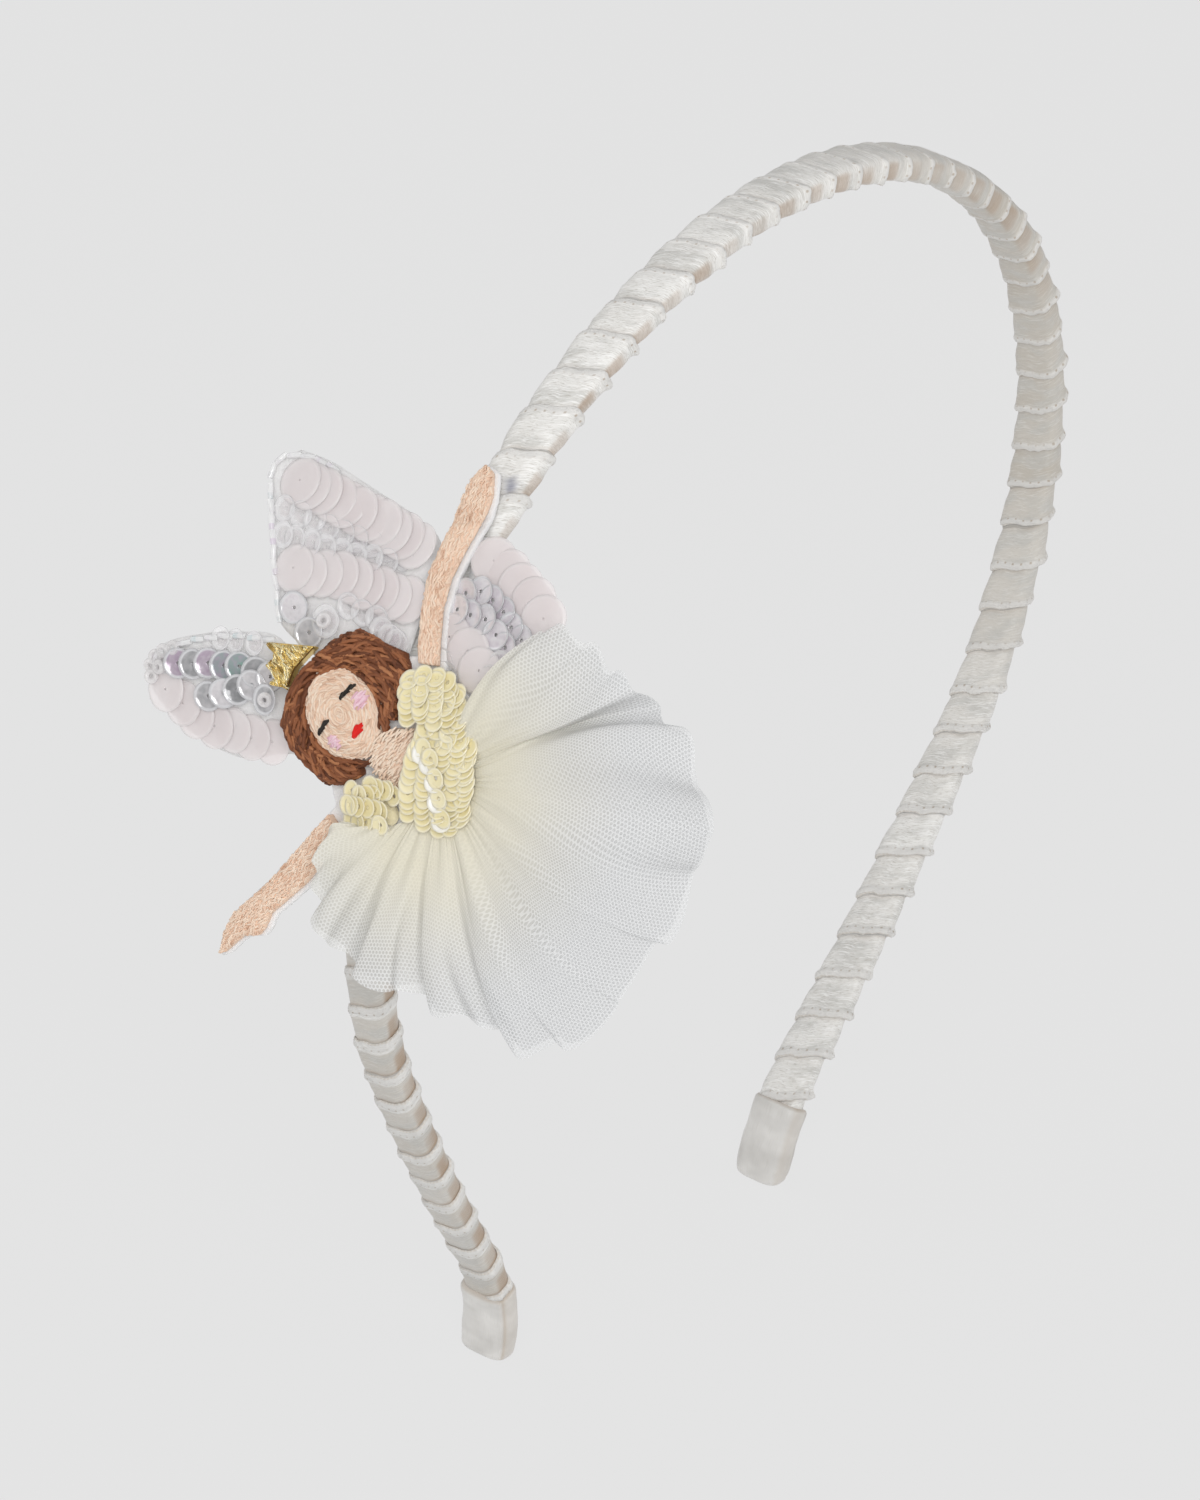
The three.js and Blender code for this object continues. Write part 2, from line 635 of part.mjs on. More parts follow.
add("band", bandGeometry(), 0xd9d2c4, 0.45);
add("tip_cap_left", capGeometry(-1), 0xd9d2c4, 0.45);
add("tip_cap_right", capGeometry(1), 0xd9d2c4, 0.45);
for (const [name, rows] of Object.entries(WINGS)) {
  add(name, strip(rows, { base: 0, rise: WING_FELT, edge: 1 }), 0xe9e7e6, 0.9);
  add(`${name}_sequins`, wingSequins(name), 0xe6dfe0, 0.25);
}
add("figure_backing", fromManifold(join(backingPieces(0))), 0xefeeec, 0.9);
for (const [name, rows] of Object.entries(ARMS)) {
  add(name, strip(rows, { base: THREAD_BASE, rise: THREAD_RISE, edge: 0.4 }), 0xe8b48f, 0.8);
}
add("neck", strip(NECK, { base: THREAD_BASE, rise: THREAD_RISE, edge: 0.4 }), 0xeac3a6, 0.8);
add("face", strip(ovalRows(FACE), { base: THREAD_BASE, rise: FACE_RISE, edge: 0.4 }), 0xedc9ac, 0.8);
add("hair", strip(hairRows(), { base: THREAD_BASE, rise: THREAD_RISE, edge: 0.4 }), 0x7a4128, 0.7);
add("crown", crownGeometry(), 0xb0913f, 0.35, 0.9);
for (const { name, colour, ...oval } of FEATURES) {
  const base = THREAD_BASE + FACE_RISE + GAP;
  add(name, strip(ovalRows(oval, 5), { base, rise: FEATURE_RISE, edge: 0.5, columns: 2 }), colour, 0.7);
}
for (const name of Object.keys(DRESS_CORES)) {
  add(name, dressGeometry(name), 0xe3dcae, 0.35);
}
add("skirt", skirtGeometry(), 0xe9e6da, 0.8);

// The part stands on its two tips, with the origin under the middle of its bounding box
const box = new THREE.Box3().setFromObject(headband);
const foot = box.getCenter(new THREE.Vector3()).setZ(box.min.z);
for (const mesh of headband.children) {
  mesh.position.sub(foot);
}

export default headband;
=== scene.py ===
import math

import bpy
import numpy as np
from mathutils import Matrix, Vector
from mathutils.bvhtree import BVHTree


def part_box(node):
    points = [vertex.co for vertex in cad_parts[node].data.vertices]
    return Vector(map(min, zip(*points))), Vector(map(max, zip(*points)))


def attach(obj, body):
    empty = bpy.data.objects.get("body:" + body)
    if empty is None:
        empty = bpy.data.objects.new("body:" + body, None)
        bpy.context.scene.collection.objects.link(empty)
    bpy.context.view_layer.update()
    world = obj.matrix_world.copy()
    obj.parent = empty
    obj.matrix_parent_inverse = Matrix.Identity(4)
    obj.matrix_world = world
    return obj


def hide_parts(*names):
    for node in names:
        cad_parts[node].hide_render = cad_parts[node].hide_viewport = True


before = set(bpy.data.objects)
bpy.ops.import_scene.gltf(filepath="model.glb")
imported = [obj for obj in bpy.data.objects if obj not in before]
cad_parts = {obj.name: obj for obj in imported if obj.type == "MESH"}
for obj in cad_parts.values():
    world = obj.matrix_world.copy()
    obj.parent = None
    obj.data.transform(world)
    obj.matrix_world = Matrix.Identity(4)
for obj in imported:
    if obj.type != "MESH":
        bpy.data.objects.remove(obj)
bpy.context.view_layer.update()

MM = 0.001


def table(columns, *rows):
    """Rows with named columns. A row may leave out the last ones."""
    return [dict(zip(columns.split(), row)) for row in rows]


# Band and ribbon
BAND_ARCS = table(
    "stretch radius turn",
    ("crown", 71.2, 36.5),
    ("side", 54.3, 86.5),
    ("leg", 354, 6.3),
    ("flare", 22, -39.3),
)
BAND_WIDTH = 4.9
BAND_THICKNESS = 2.95
BAND_ROUNDNESS = 0.62
RIBBON_PITCH = 5.25
RIBBON_STEP = 0.28
RIBBON_COLUMNS = 80
RIBBON_ACROSS = np.array([
    0, 0.03, 0.08, 0.16, 0.28, 0.42, 0.55, 0.65, 0.72, 0.77, 0.81, 0.845, 0.88, 0.915, 0.945, 0.968, 0.984,
])
PICOT = 0.42
DOT = 0.85
PEN_MARK = {"distance": 55.3, "y": -1.25}
CAP_LENGTH = 9
CAP_WIDTH = 6
CAP_THICKNESS = 4.1
CAP_LAP = 0.25
CAP_COLUMNS = 72
GAP = 0.3

# Outline of a cap: the share of its length and how far it stands out there
CAP_OUTLINE = np.array([
    (0, -0.62), (0.012, -0.16), (0.04, 0.02), (0.09, 0.06), (0.16, 0.02), (0.26, -0.04),
    (0.38, -0.02), (0.5, 0.03), (0.62, 0.05), (0.74, 0.03), (0.84, 0), (0.91, -0.06),
    (0.95, -0.14), (0.975, -0.26), (0.99, -0.46), (1, -0.75), (1, -1.4), (1, -2),
])

# Fairy: u runs to the front, v up along the band and h out from it
FAIRY_ANGLE = math.radians(76.9)
WING_FELT = 1.0
FELT_GRID = {"rows": 44, "columns": 14}
FACE = {"at": (-4.4, 2), "along": 4.9, "across": 4.3, "tilt": -25}
WINGS = {
    "wing_right_upper": table(
        "left right",
        ((-9, 5.2), (-0.6, 9.5)),
        ((-15.6, 7.2), (-1, 14)),
        ((-17.6, 10.4), (-2, 20.6)),
        ((-19.3, 13.8), (-5.5, 22.5)),
        ((-21, 17), (-11.5, 23.5)),
        ((-22.9, 20), (-17.5, 24.4)),
        ((-23.9, 22.2), (-21.6, 24.4)),
    ),
    "wing_left_upper": table(
        "left right",
        ((-8, -4), (-9.5, 3.2)),
        ((-11.7, -5.2), (-12.8, 4.8)),
        ((-14.9, -7), (-16.2, 6)),
        ((-18.5, -7.4), (-20, 5)),
        ((-22.5, -6.9), (-23.5, 3.6)),
        ((-27.5, -5), (-27.5, 1.4)),
        ((-29.7, -2.6), (-29.5, -0.6)),
    ),
    "wing_right_lower": table(
        "left right",
        ((4.5, 7.5), (8.8, 6.8)),
        ((3.4, 11), (10.6, 11.3)),
        ((2.8, 14.5), (12.9, 15.2)),
        ((2.5, 18), (14.1, 18)),
        ((2, 20.5), (12.9, 20.1)),
        ((1.2, 22.4), (9.5, 21.9)),
        ((1.5, 23.3), (4.5, 24)),
    ),
}

# Sequins: flat is the share of the radius that lies flat, and cup is how far the rim stands up
SEQUINS = {
    "frosted": {"hole": 0.1, "flat": 0.7, "cup": -0.08, "thickness": 0.06},
    "clear": {"hole": 0.2, "flat": 0.58, "cup": 0.34, "thickness": 0.08},
    "silver": {"hole": 0.2, "flat": 0.72, "cup": 0.22, "thickness": 0.08},
    "cream": {"hole": 0.2, "flat": 0.5, "cup": 0.18, "thickness": 0.09},
}
SEQUIN_TILT = {"frosted": 6, "clear": 12, "silver": 12}
FIELD_ORDER = ("frosted", "clear", "silver", "seed", "bugle")

# Rows of sequins on the wings. rise is the side of each sequin that lies on its neighbour, in degrees.
SEQUIN_COLUMNS = "kind count size h rise path tones"
SEQUIN_ROWS = {
    "wing_right_upper": table(
        SEQUIN_COLUMNS,
        ("clear", 9, 2.8, 1.25, 60, ((-19.8, 18.2), (-5.1, 18.4))),
        ("clear", 8, 2.8, 1.35, 60, ((-18.9, 15.7), (-6.4, 17.2))),
        ("frosted", 11, 5, 1.7, 0, ((-19.7, 21.4), (-4.3, 20.1))),
        ("frosted", 9, 4.9, 1.7, 0, ((-16.2, 13), (-8.9, 14.6), (-2.5, 14.4))),
        ("clear", 3, 2.8, 1.5, 90, ((-8.4, 11.9), (-4.9, 11.9))),
        ("clear", 3, 2.9, 1.9, 90, ((-3.6, 11), (-1.4, 10.4))),
        ("silver", 1, 3.4, 1.6, 90, ((-14.4, 9.5), (-14.4, 9.5))),
        ("silver", 1, 3.2, 1.8, 120, ((-11.9, 8), (-11.9, 8))),
        ("clear", 1, 3.4, 1.9, 90, ((-10.2, 9.6), (-10.2, 9.6))),
    ),
    "wing_left_upper": table(
        SEQUIN_COLUMNS,
        ("frosted", 7, 4.8, 1.3, 0, ((-26.4, -3.4), (-23, -4.9), (-19, -5), (-12.6, -4.2))),
        ("clear", 1, 2.6, 1.35, 180, ((-27.5, -1), (-27.5, -1))),
        ("silver", 7, 3.2, 1.5, 190, ((-25.7, -0.5), (-21.3, 1.1), (-14.6, 2.5)), (0, 0.9)),
        ("silver", 4, 3.2, 1.75, 190, ((-20.9, -2.1), (-18.6, -0.9), (-16.4, 0.7)), (0, 0.5)),
        ("clear", 3, 2.5, 1.4, 0, ((-21.4, 3.6), (-17.6, 4.6))),
        ("silver", 1, 3.2, 2.1, 0, ((-14, 0), (-14, 0)), (0, 0.2)),
    ),
    "wing_right_lower": table(
        SEQUIN_COLUMNS,
        ("frosted", 5, 4.9, 1.4, 180, ((4.5, 21.3), (7.5, 20.7), (9.7, 19.8), (12.2, 18.1))),
        ("silver", 6, 3.1, 1.55, 45, ((3.2, 17.3), (5, 18.3), (7.9, 17.4), (11.2, 15.2)), (0.42, 0.54)),
        ("silver", 5, 3.1, 1.7, 45, ((3.2, 15.6), (6.8, 15.9), (10, 14.1)), (0.42, 0.54)),
        ("frosted", 3, 4.7, 1.95, 180, ((3.9, 12.9), (6.1, 12.6), (8.2, 11))),
        ("clear", 3, 2.8, 1.5, 90, ((3.6, 10.4), (6.2, 8.6))),
        ("clear", 3, 2.6, 1.5, 90, ((10.2, 12.6), (9.6, 9.4))),
    ),
}
SEED_BEAD = {"radius": 0.5, "wall": 0.3, "half_height": 0.36, "tilt": 12}
SEED_BEADS = {
    "wing_right_upper": table("u v h", (-10.2, 9.6, 2.5)),
    "wing_left_upper": table(
        "u v h",
        (-14, 0, 2.5),
        (-27.8, 0.1, 1.5),
        (-28.6, -0.8, 1.4),
        (-28.9, -1.9, 1.4),
        (-28.4, -2.9, 1.5),
        (-27.7, -1.6, 1.7),
        (-26.8, 0.8, 1.5),
    ),
    "wing_right_lower": table("u v h", (3.1, 10.6, 2.5), (11.8, 12.8, 2.5)),
}
BUGLE_BEAD = {"radius": 0.32, "half_length": 0.8, "h": 1.36}
BUGLE_ROWS = {
    "wing_right_upper": table(
        "count path",
        (9, ((-15.6, 7.6), (-22.7, 19.9))),
        (6, ((-23, 20.4), (-23.3, 21.8), (-22.6, 23.2), (-19.6, 24), (-16, 23.7))),
    ),
    "wing_left_upper": table("count path", (9, ((-28.9, -0.9), (-24.8, 2.4), (-20, 4.6), (-15.4, 5.7)))),
    "wing_right_lower": table(
        "count path",
        (1, ((1.9, 23.2), (1.8, 21.6))),
        (1, ((8.8, 11.8), (9.5, 9.6))),
        (1, ((6.8, 8.4), (8.6, 7.9))),
    ),
}

# Strings of cream cup sequins on the dress, and the few painted white as glints
CREAM_SIZE = 2.15
DRESS_DOME = {"core": 2.4, "core_rise": 1.35, "sequins": 3.45, "sequin_rise": 0.7}
DRESS_CORES = {
    "bodice": {"at": (8.6, -0.1), "along": 3.6, "across": 4.4},
    "sleeve_right": {"at": (5.2, 6.3), "along": 3, "across": 1.7},
    "sleeve_left": {"at": (2.1, -5.8), "along": 2.6, "across": 1.7},
}
DRESS_STRINGS = {
    "bodice": table(
        "count tilt path",
        (12, 16, ((5.9, 4.2), (5.6, -0.4), (5.7, -2.4), (6.6, -4.4))),
        (16, 18, ((7.2, 4.5), (7.6, -1.3), (8.5, -4.6))),
        (18, 18, ((8.5, 4.7), (9.2, -0.6), (10.2, -4.4))),
        (18, 18, ((9.8, 4.7), (10.8, 0), (11.5, -4))),
        (16, 20, ((11, 4.3), (12, 0.2), (12.3, -3))),
    ),
    "sleeve_right": table(
        "count tilt path",
        (7, 16, ((2.3, 7.9), (3.5, 4.6))),
        (8, 17, ((3.7, 8.6), (5, 5.2))),
        (8, 17, ((5, 9.1), (6.6, 5.4))),
        (8, 17, ((6.5, 9), (8.1, 5.5))),
        (7, 17, ((7.8, 8.4), (9.4, 5.3))),
    ),
    "sleeve_left": table(
        "count tilt path",
        (5, 14, ((1.6, -3.3), (4.4, -3.2))),
        (4, 14, ((-0.4, -4.6), (2.3, -4))),
        (6, 14, ((-0.6, -6), (3.6, -5.2))),
        (5, 14, ((0.3, -7.3), (4, -6.6))),
    ),
}
DRESS_GLINTS = {
    "bodice": ((6.4, 2), (7.6, 1.4), (8.8, -0.1), (9.7, -1.9), (10.6, -3.7)),
    "sleeve_right": (),
    "sleeve_left": ((3.9, -7),),
}

# Embroidery. An offset runs along and across the tilt of the feature that it belongs to.
STITCH_POINTS = 8
ARM_SPINES = {
    "arm_raised": ((3.1, 9.4), (1.1, 14.9), (0.5, 18), (0.55, 23.2), (-0.1, 25.6), (-0.7, 30)),
    "arm_lowered": ((-1.7, -8.6), (-4.9, -15.2), (-8.1, -20.4), (-9.3, -23.2), (-10.9, -26.8)),
}
ARM_STITCH = {"row": 0.46, "gap": 0.28, "reach": 2.2, "slant": 0.3}
NECK_OUTLINE = (
    (-0.3, 1.6), (1.9, 2.9), (4.5, 3.4), (5.8, 0.7), (5.3, -1.6), (4, -2.9), (2.2, -2.8), (0.2, -1.3),
)
NECK_MIDDLE = (2.6, 0.2)
NECK_FIELD = {"u": (-0.4, 5.8, 0.26), "v": (-3, 3.6, 0.52)}
NECK_DOME = {"reach": 3.4, "stitches": 2.75, "stitch_rise": 0.75, "pad": 2.3, "pad_rise": 0.95}
FACE_STITCH = {"rings": (0.03, 1.06, 0.05), "radius": 4.6, "length": 0.8}
HAIR_STITCH = {"layers": 3, "rings": (0.99, 2.05, 0.085), "radius": 4.6, "gap": 1.3, "points": 9}
HAIR_SWEEP = (8, 318)
HAIR_PARTING = 118
CROWN_FIELD = {"u": (-15, -9.6), "v": (1.6, 7.1)}
CROWN_STITCHES = 620
EYES = {"eye_right": {"at": (-4.4, 4.3), "tilt": 64}, "eye_left": {"at": (-5.9, 0.1), "tilt": 68}}
EYE_STITCHES = table(
    "offset turn length",
    ((-0.62, 0.1), 0.25, 0.75),
    ((-0.1, -0.06), -0.12, 0.8),
    ((0.42, 0.08), 0.2, 0.8),
    ((0.78, -0.06), -0.1, 0.6),
    ((-0.3, 0.02), 0, 1),
    ((0.2, 0.04), 0, 1),
)
FEATURE_THREADS = {
    "lash_thread": {"radius": 0.19, "lift": 0.22},
    "cheek_thread": {"radius": 0.12, "lift": 0.16},
    "mouth_thread": {"radius": 0.16, "lift": 0.24},
}
CHEEKS = {"cheek_right": {"at": (-2.7, 4.1), "tilt": 60}, "cheek_left": {"at": (-4.2, -0.8), "tilt": 60}}
MOUTH = {"at": (-1.9, 1.2), "tilt": 70}
MOUTH_STITCHES = table(
    "offset turn length",
    ((0, -0.26), -0.14, 1.2),
    ((0.03, -0.09), -0.03, 1.85),
    ((0, 0.09), 0.04, 1.85),
    ((-0.03, 0.26), 0.16, 1.2),
)

# Skirt: flutes round the waist, each with its start and reach from the waist's centre and its hem's height
WAIST = {"at": (7.9, -0.2), "radius": 5, "slope": 0.25, "height": 2.4}
SKIRT_FOLDS = table(
    "angle start reach height",
    (68, 5, 18.6, 4.6),
    (60, 5, 21, 6.2),
    (47, 5, 22.8, 6.2),
    (40, 5, 25.2, 6.6),
    (34.5, 5, 26.5, 3.8),
    (23, 5, 32, 7.4),
    (11.4, 5, 32.4, 2.9),
    (0, 5, 33.6, 7.2),
    (-15, 5, 31.6, 6.5),
    (-30, 5, 32, 7),
    (-44, 5, 29.9, 7),
    (-52, 5, 26, 3.6),
    (-62, 5, 23.6, 6.8),
    (-74, 5, 21.4, 4.2),
    (-86, 5, 21.4, 6.8),
    (-100, 5.6, 20.4, 4.6),
    (-109, 6.6, 19.6, 6.4),
    (-118, 8, 17.4, 4.6),
    (-126, 9.6, 14.8, 6),
    (-133, 11, 13.2, 4.4),
)
SKIRT_CUT = {"inner": 6, "outer": 30.5, "turn": 206}
SKIRT_GRID = {"columns": 520, "rows": 46}
SKIRT_RISE = 5.8
NET_CELL = 0.38

# Colours of thread, sequins and cloth: stops from dark to light, or from one tint to the next
TONES = {
    "frosted_sequin": ((0.2, (0.86, 0.79, 0.79)), (0.8, (0.91, 0.86, 0.86))),
    "clear_sequin": ((0.1, (0.80, 0.77, 0.78)), (0.6, (0.88, 0.84, 0.85)), (0.95, (0.80, 0.73, 0.79))),
    "silver_sequin": (
        (0.08, (0.17, 0.175, 0.18)), (0.25, (0.38, 0.38, 0.39)), (0.5, (0.78, 0.75, 0.77)),
        (0.75, (0.44, 0.35, 0.44)), (0.97, (0.20, 0.38, 0.31)),
    ),
    "seed_bead": ((0.1, (0.66, 0.63, 0.63)), (0.9, (0.80, 0.78, 0.78))),
    "bugle_bead": (
        (0.05, (0.62, 0.80, 0.82)), (0.3, (0.80, 0.80, 0.81)), (0.8, (0.86, 0.85, 0.86)),
        (0.95, (0.78, 0.70, 0.80)),
    ),
    # cream_sequin ends in white for the painted glints.
    "cream_sequin": (
        (0.1, (0.93, 0.82, 0.45)), (0.5, (0.96, 0.87, 0.54)), (0.76, (0.98, 0.91, 0.65)),
        (0.8, (1, 0.99, 0.96)),
    ),
    "white_felt": ((0.3, (0.76, 0.75, 0.75)), (0.68, (0.90, 0.89, 0.885))),
    "dress_core": ((0.3, (0.86, 0.76, 0.48)), (0.68, (0.95, 0.87, 0.62))),
    "skin_thread": ((0.1, (0.58, 0.34, 0.22)), (0.3, (0.79, 0.57, 0.43)), (0.85, (0.87, 0.70, 0.56))),
    "face_thread": ((0.1, (0.60, 0.37, 0.25)), (0.35, (0.80, 0.60, 0.46)), (0.85, (0.87, 0.73, 0.60))),
    "hair_thread": (
        (0.1, (0.07, 0.021, 0.009)), (0.45, (0.20, 0.068, 0.028)), (0.75, (0.31, 0.115, 0.048)),
        (0.98, (0.46, 0.20, 0.088)),
    ),
    "gold_thread": ((0.1, (0.36, 0.21, 0.05)), (0.5, (0.88, 0.66, 0.23)), (0.95, (1.0, 0.94, 0.68))),
    "lash_thread": ((0.1, (0.008, 0.007, 0.006)), (0.9, (0.03, 0.026, 0.022))),
    "cheek_thread": ((0.1, (0.70, 0.40, 0.48)), (0.5, (0.82, 0.56, 0.64)), (0.9, (0.88, 0.69, 0.75))),
    "mouth_thread": ((0.1, (0.55, 0.006, 0.005)), (0.9, (0.80, 0.02, 0.015))),
    "ivory_tulle": ((0.05, (0.69, 0.65, 0.52)), (0.5, (0.68, 0.665, 0.61)), (0.95, (0.635, 0.64, 0.645))),
    # satin_ribbon runs from the ribbon's ivory to a taupe used as painted shade.
    "satin_ribbon": ((0, (0.83, 0.82, 0.795)), (1, (0.43, 0.385, 0.32))),
    "cap_satin": ((0.3, (0.58, 0.565, 0.54)), (0.7, (0.74, 0.725, 0.70))),
}
# rim is the colour painted on each bevel and rim as a highlight.
CLEAR_RIMS = {
    "clear_sequin": {"rim": (0.97, 0.96, 0.97), "middle_cover": 0.16, "rim_cover": 0.3},
    "silver_sequin": {
        "rim": (0.82, 0.82, 0.84), "middle_cover": 0.88, "rim_cover": 0.5, "metallic": 0.2, "edge": 0.76,
    },
    "seed_bead": {"rim": (0.88, 0.86, 0.86), "middle_cover": 0.5, "rim_cover": 0.5},
    "bugle_bead": {"rim": (0.9, 0.9, 0.9), "middle_cover": 0.6, "rim_cover": 0.6},
}

# Camera: the photograph's view of the band, measured from the middle of its crown
CAMERA = {"azimuth": -59.44, "elevation": 26.43, "roll": 8.74, "distance": 795, "lens": 179.53, "sensor": 36}
CAMERA_TARGET = (-23.27, 0, -59.44)

# Studio, in metres and watts
FLOOR_HALF = 6
LIGHT_TARGET = (-0.02, 0, 0.07)
LIGHTS = table(
    "name place size power",
    ("key", (-0.42, -0.22, 0.35), 0.3, 1.5),
    ("fill", (0.4, -0.8, 0.2), 0.6, 1.7),
    ("back", (-0.3, 1.0, 0.9), 0.7, 1.4),
)

band_low, band_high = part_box("band")
SHIFT = np.array([(band_low.x + band_high.x) / 2, (band_low.y + band_high.y) / 2, 0]) / MM


def ease(share):
    """A share from 0 to 1 that starts and ends slowly."""
    return share * share * (3 - 2 * share)


def smooth(value, low, high):
    """Eased share of the way from low to high."""
    return ease(np.clip((np.asarray(value, float) - low) / (high - low), 0, 1))


def wander(at, period, seed, cells=1024):
    """Smooth random values from -1 to 1 along a line."""
    values = np.random.default_rng(seed).uniform(-1, 1, cells)
    place = np.asarray(at, float) / period
    cell = np.floor(place).astype(int)
    weight = ease(place - cell)
    return values[cell % cells] * (1 - weight) + values[(cell + 1) % cells] * weight


def bell(value, middle, width):
    """A bump of height 1 round a middle."""
    return np.exp(-(((value - middle) / width) ** 2))


def circle(count):
    """Angles spaced evenly round a circle."""
    return 2 * np.pi * np.arange(count) / count


def along_arcs(distance):
    """Places on half of the centre line at distances from the crown, and the angles of their normals."""
    rest = np.array(distance, float)
    x, z, angle = np.zeros_like(rest), np.zeros_like(rest), np.zeros_like(rest)
    for arc in BAND_ARCS:
        sweep = math.radians(arc["turn"])
        length = arc["radius"] * abs(sweep)
        share = np.clip(rest / length, 0, 1)
        bend = math.copysign(arc["radius"], sweep)
        ahead = angle + sweep * share
        x = x + bend * (np.sin(ahead) - np.sin(angle))
        z = z + bend * (np.cos(ahead) - np.cos(angle))
        angle = ahead
        rest = rest - length * share
    return x, z, angle


HALF_LENGTH = sum(arc["radius"] * abs(math.radians(arc["turn"])) for arc in BAND_ARCS)
WOUND_END = HALF_LENGTH - CAP_LENGTH - GAP
CROWN_HEIGHT = -float(along_arcs(HALF_LENGTH)[1])


def band_point(distance, y, out):
    """Points beside the centre line. The distance is negative on the fairy's side."""
    x, z, angle = along_arcs(np.abs(distance))
    x = np.sign(distance) * (x + out * np.sin(angle))
    return np.stack([x, y + 0 * x, CROWN_HEIGHT + z + out * np.cos(angle)], -1) + SHIFT


def section(turn, half_width, half_thickness):
    """Rounded rectangle of the band: the turn starts at the back and runs over the outer face."""
    sides = (half_width, np.cos(turn)), (half_thickness, np.sin(turn))
    return [half * np.sign(share) * np.abs(share) ** BAND_ROUNDNESS for half, share in sides]


crown_length = BAND_ARCS[0]["radius"] * math.radians(BAND_ARCS[0]["turn"])
crown_x, crown_z, crown_angle = (float(value) for value in along_arcs(crown_length))
SIDE_RADIUS = BAND_ARCS[1]["radius"]
SIDE_X = crown_x - SIDE_RADIUS * math.sin(crown_angle)
SIDE_Z = CROWN_HEIGHT + crown_z - SIDE_RADIUS * math.cos(crown_angle)
FAIRY_BASE = SIDE_RADIUS + BAND_THICKNESS / 2 + RIBBON_STEP + GAP


def fairy_point(u, v, h):
    """Points of the fairy's layers: above v = 0 they follow the band's curve, below it they are flat."""
    u, v, h = np.broadcast_arrays(np.asarray(u, float), v, h)
    angle = FAIRY_ANGLE - np.maximum(v, 0) / FAIRY_BASE
    flat = np.minimum(v, 0)
    x = SIDE_X + (FAIRY_BASE + h) * np.sin(angle) - flat * np.cos(angle)
    z = SIDE_Z + (FAIRY_BASE + h) * np.cos(angle) + flat * np.sin(angle)
    return np.stack([-x, -u, z], -1) + SHIFT


def straight_out(angle):
    """Directions out from the band's side at angles round it."""
    return np.stack([-np.sin(angle), 0 * angle, np.cos(angle)], -1)


def fairy_out(v):
    """Directions straight out of the fairy's layers."""
    return straight_out(FAIRY_ANGLE - np.maximum(np.asarray(v, float), 0) / FAIRY_BASE)


def fairy_height(points):
    """Heights of points over the fairy's lowest layer, and the directions straight out there."""
    across, up = SHIFT[0] - points[:, 0] - SIDE_X, points[:, 2] - SHIFT[2] - SIDE_Z
    angle = np.minimum(np.arctan2(across, up), FAIRY_ANGLE)
    return across * np.sin(angle) + up * np.cos(angle) - FAIRY_BASE, straight_out(angle)


def path_points(path, count, margin=0.0):
    """Points spaced evenly along a path, with the direction there."""
    path = np.array(path, float)
    legs = np.diff(path, axis=0)
    at = np.concatenate([[0], np.cumsum(np.hypot(*legs.T))])
    want = np.linspace(margin, at[-1] - margin, count) if count > 1 else np.array([at[-1] / 2])
    points = np.stack([np.interp(want, at, path[:, axis]) for axis in range(2)], -1)
    ahead = legs[np.clip(np.searchsorted(at, want, side="right") - 1, 0, len(legs) - 1)]
    return points, np.arctan2(ahead[:, 1], ahead[:, 0])


def quads_of(ids):
    """Quads between neighbours in a grid of point numbers."""
    return np.stack([ids[:-1, :-1], ids[:-1, 1:], ids[1:, 1:], ids[1:, :-1]], -1).reshape(-1, 4)


def grid_quads(rows, columns, wrap=False):
    """Quads of a grid of points, wrapped round its columns if asked."""
    ids = np.arange(rows * columns).reshape(rows, columns)
    return quads_of(np.column_stack([ids, ids[:, 0]]) if wrap else ids)


def make_mesh(name, points, quads, looks, picks=None, floats=None, vectors=None):
    """A smooth mesh from points in mm and quads, with values for its materials."""
    mesh = bpy.data.meshes.new(name)
    mesh.from_pydata((np.asarray(points).reshape(-1, 3) * MM).tolist(), [], np.asarray(quads).tolist())
    for look in looks:
        mesh.materials.append(look.material)
    if picks is not None:
        mesh.polygons.foreach_set("material_index", np.asarray(picks, np.int32))
    for kind, key, layers in (("FLOAT", "value", floats), ("FLOAT_VECTOR", "vector", vectors)):
        for layer, values in (layers or {}).items():
            data = mesh.attributes.new(layer, kind, "POINT").data
            data.foreach_set(key, np.asarray(values, np.float32).ravel())
    mesh.shade_smooth()
    return mesh


def add_piece(mesh, slot, *nodes):
    """A piece of the headband, named like its mesh, that stands for CAD nodes."""
    piece = bpy.data.objects.new(mesh.name, mesh)
    bpy.context.scene.collection.objects.link(piece)
    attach(piece, "root")
    if nodes:
        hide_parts(*nodes)
    return piece


class Pile:
    """Small shapes gathered into one mesh. Each has a tone from 0 to 1 and the number of its look."""

    def __init__(self):
        self.points, self.quads, self.tones, self.grains, self.picks, self.size = [], [], [], [], [], 0

    def add(self, points, quads, tone=0.5, look=0, grain=None):
        points = np.asarray(points, float).reshape(-1, 3)
        self.points.append(points)
        self.quads.append(np.asarray(quads) + self.size)
        self.tones.append(np.broadcast_to(tone, len(points)))
        self.grains.append(np.zeros_like(points) if grain is None else grain.reshape(-1, 3))
        self.picks.append(np.full(len(quads), look))
        self.size += len(points)

    def mesh(self, name, looks):
        lists = (self.points, self.quads, self.picks, self.tones, self.grains)
        points, quads, picks, tones, grains = (np.concatenate(parts) for parts in lists)
        return make_mesh(name, points, quads, looks, picks, {"tone": tones}, {"grain": grains})


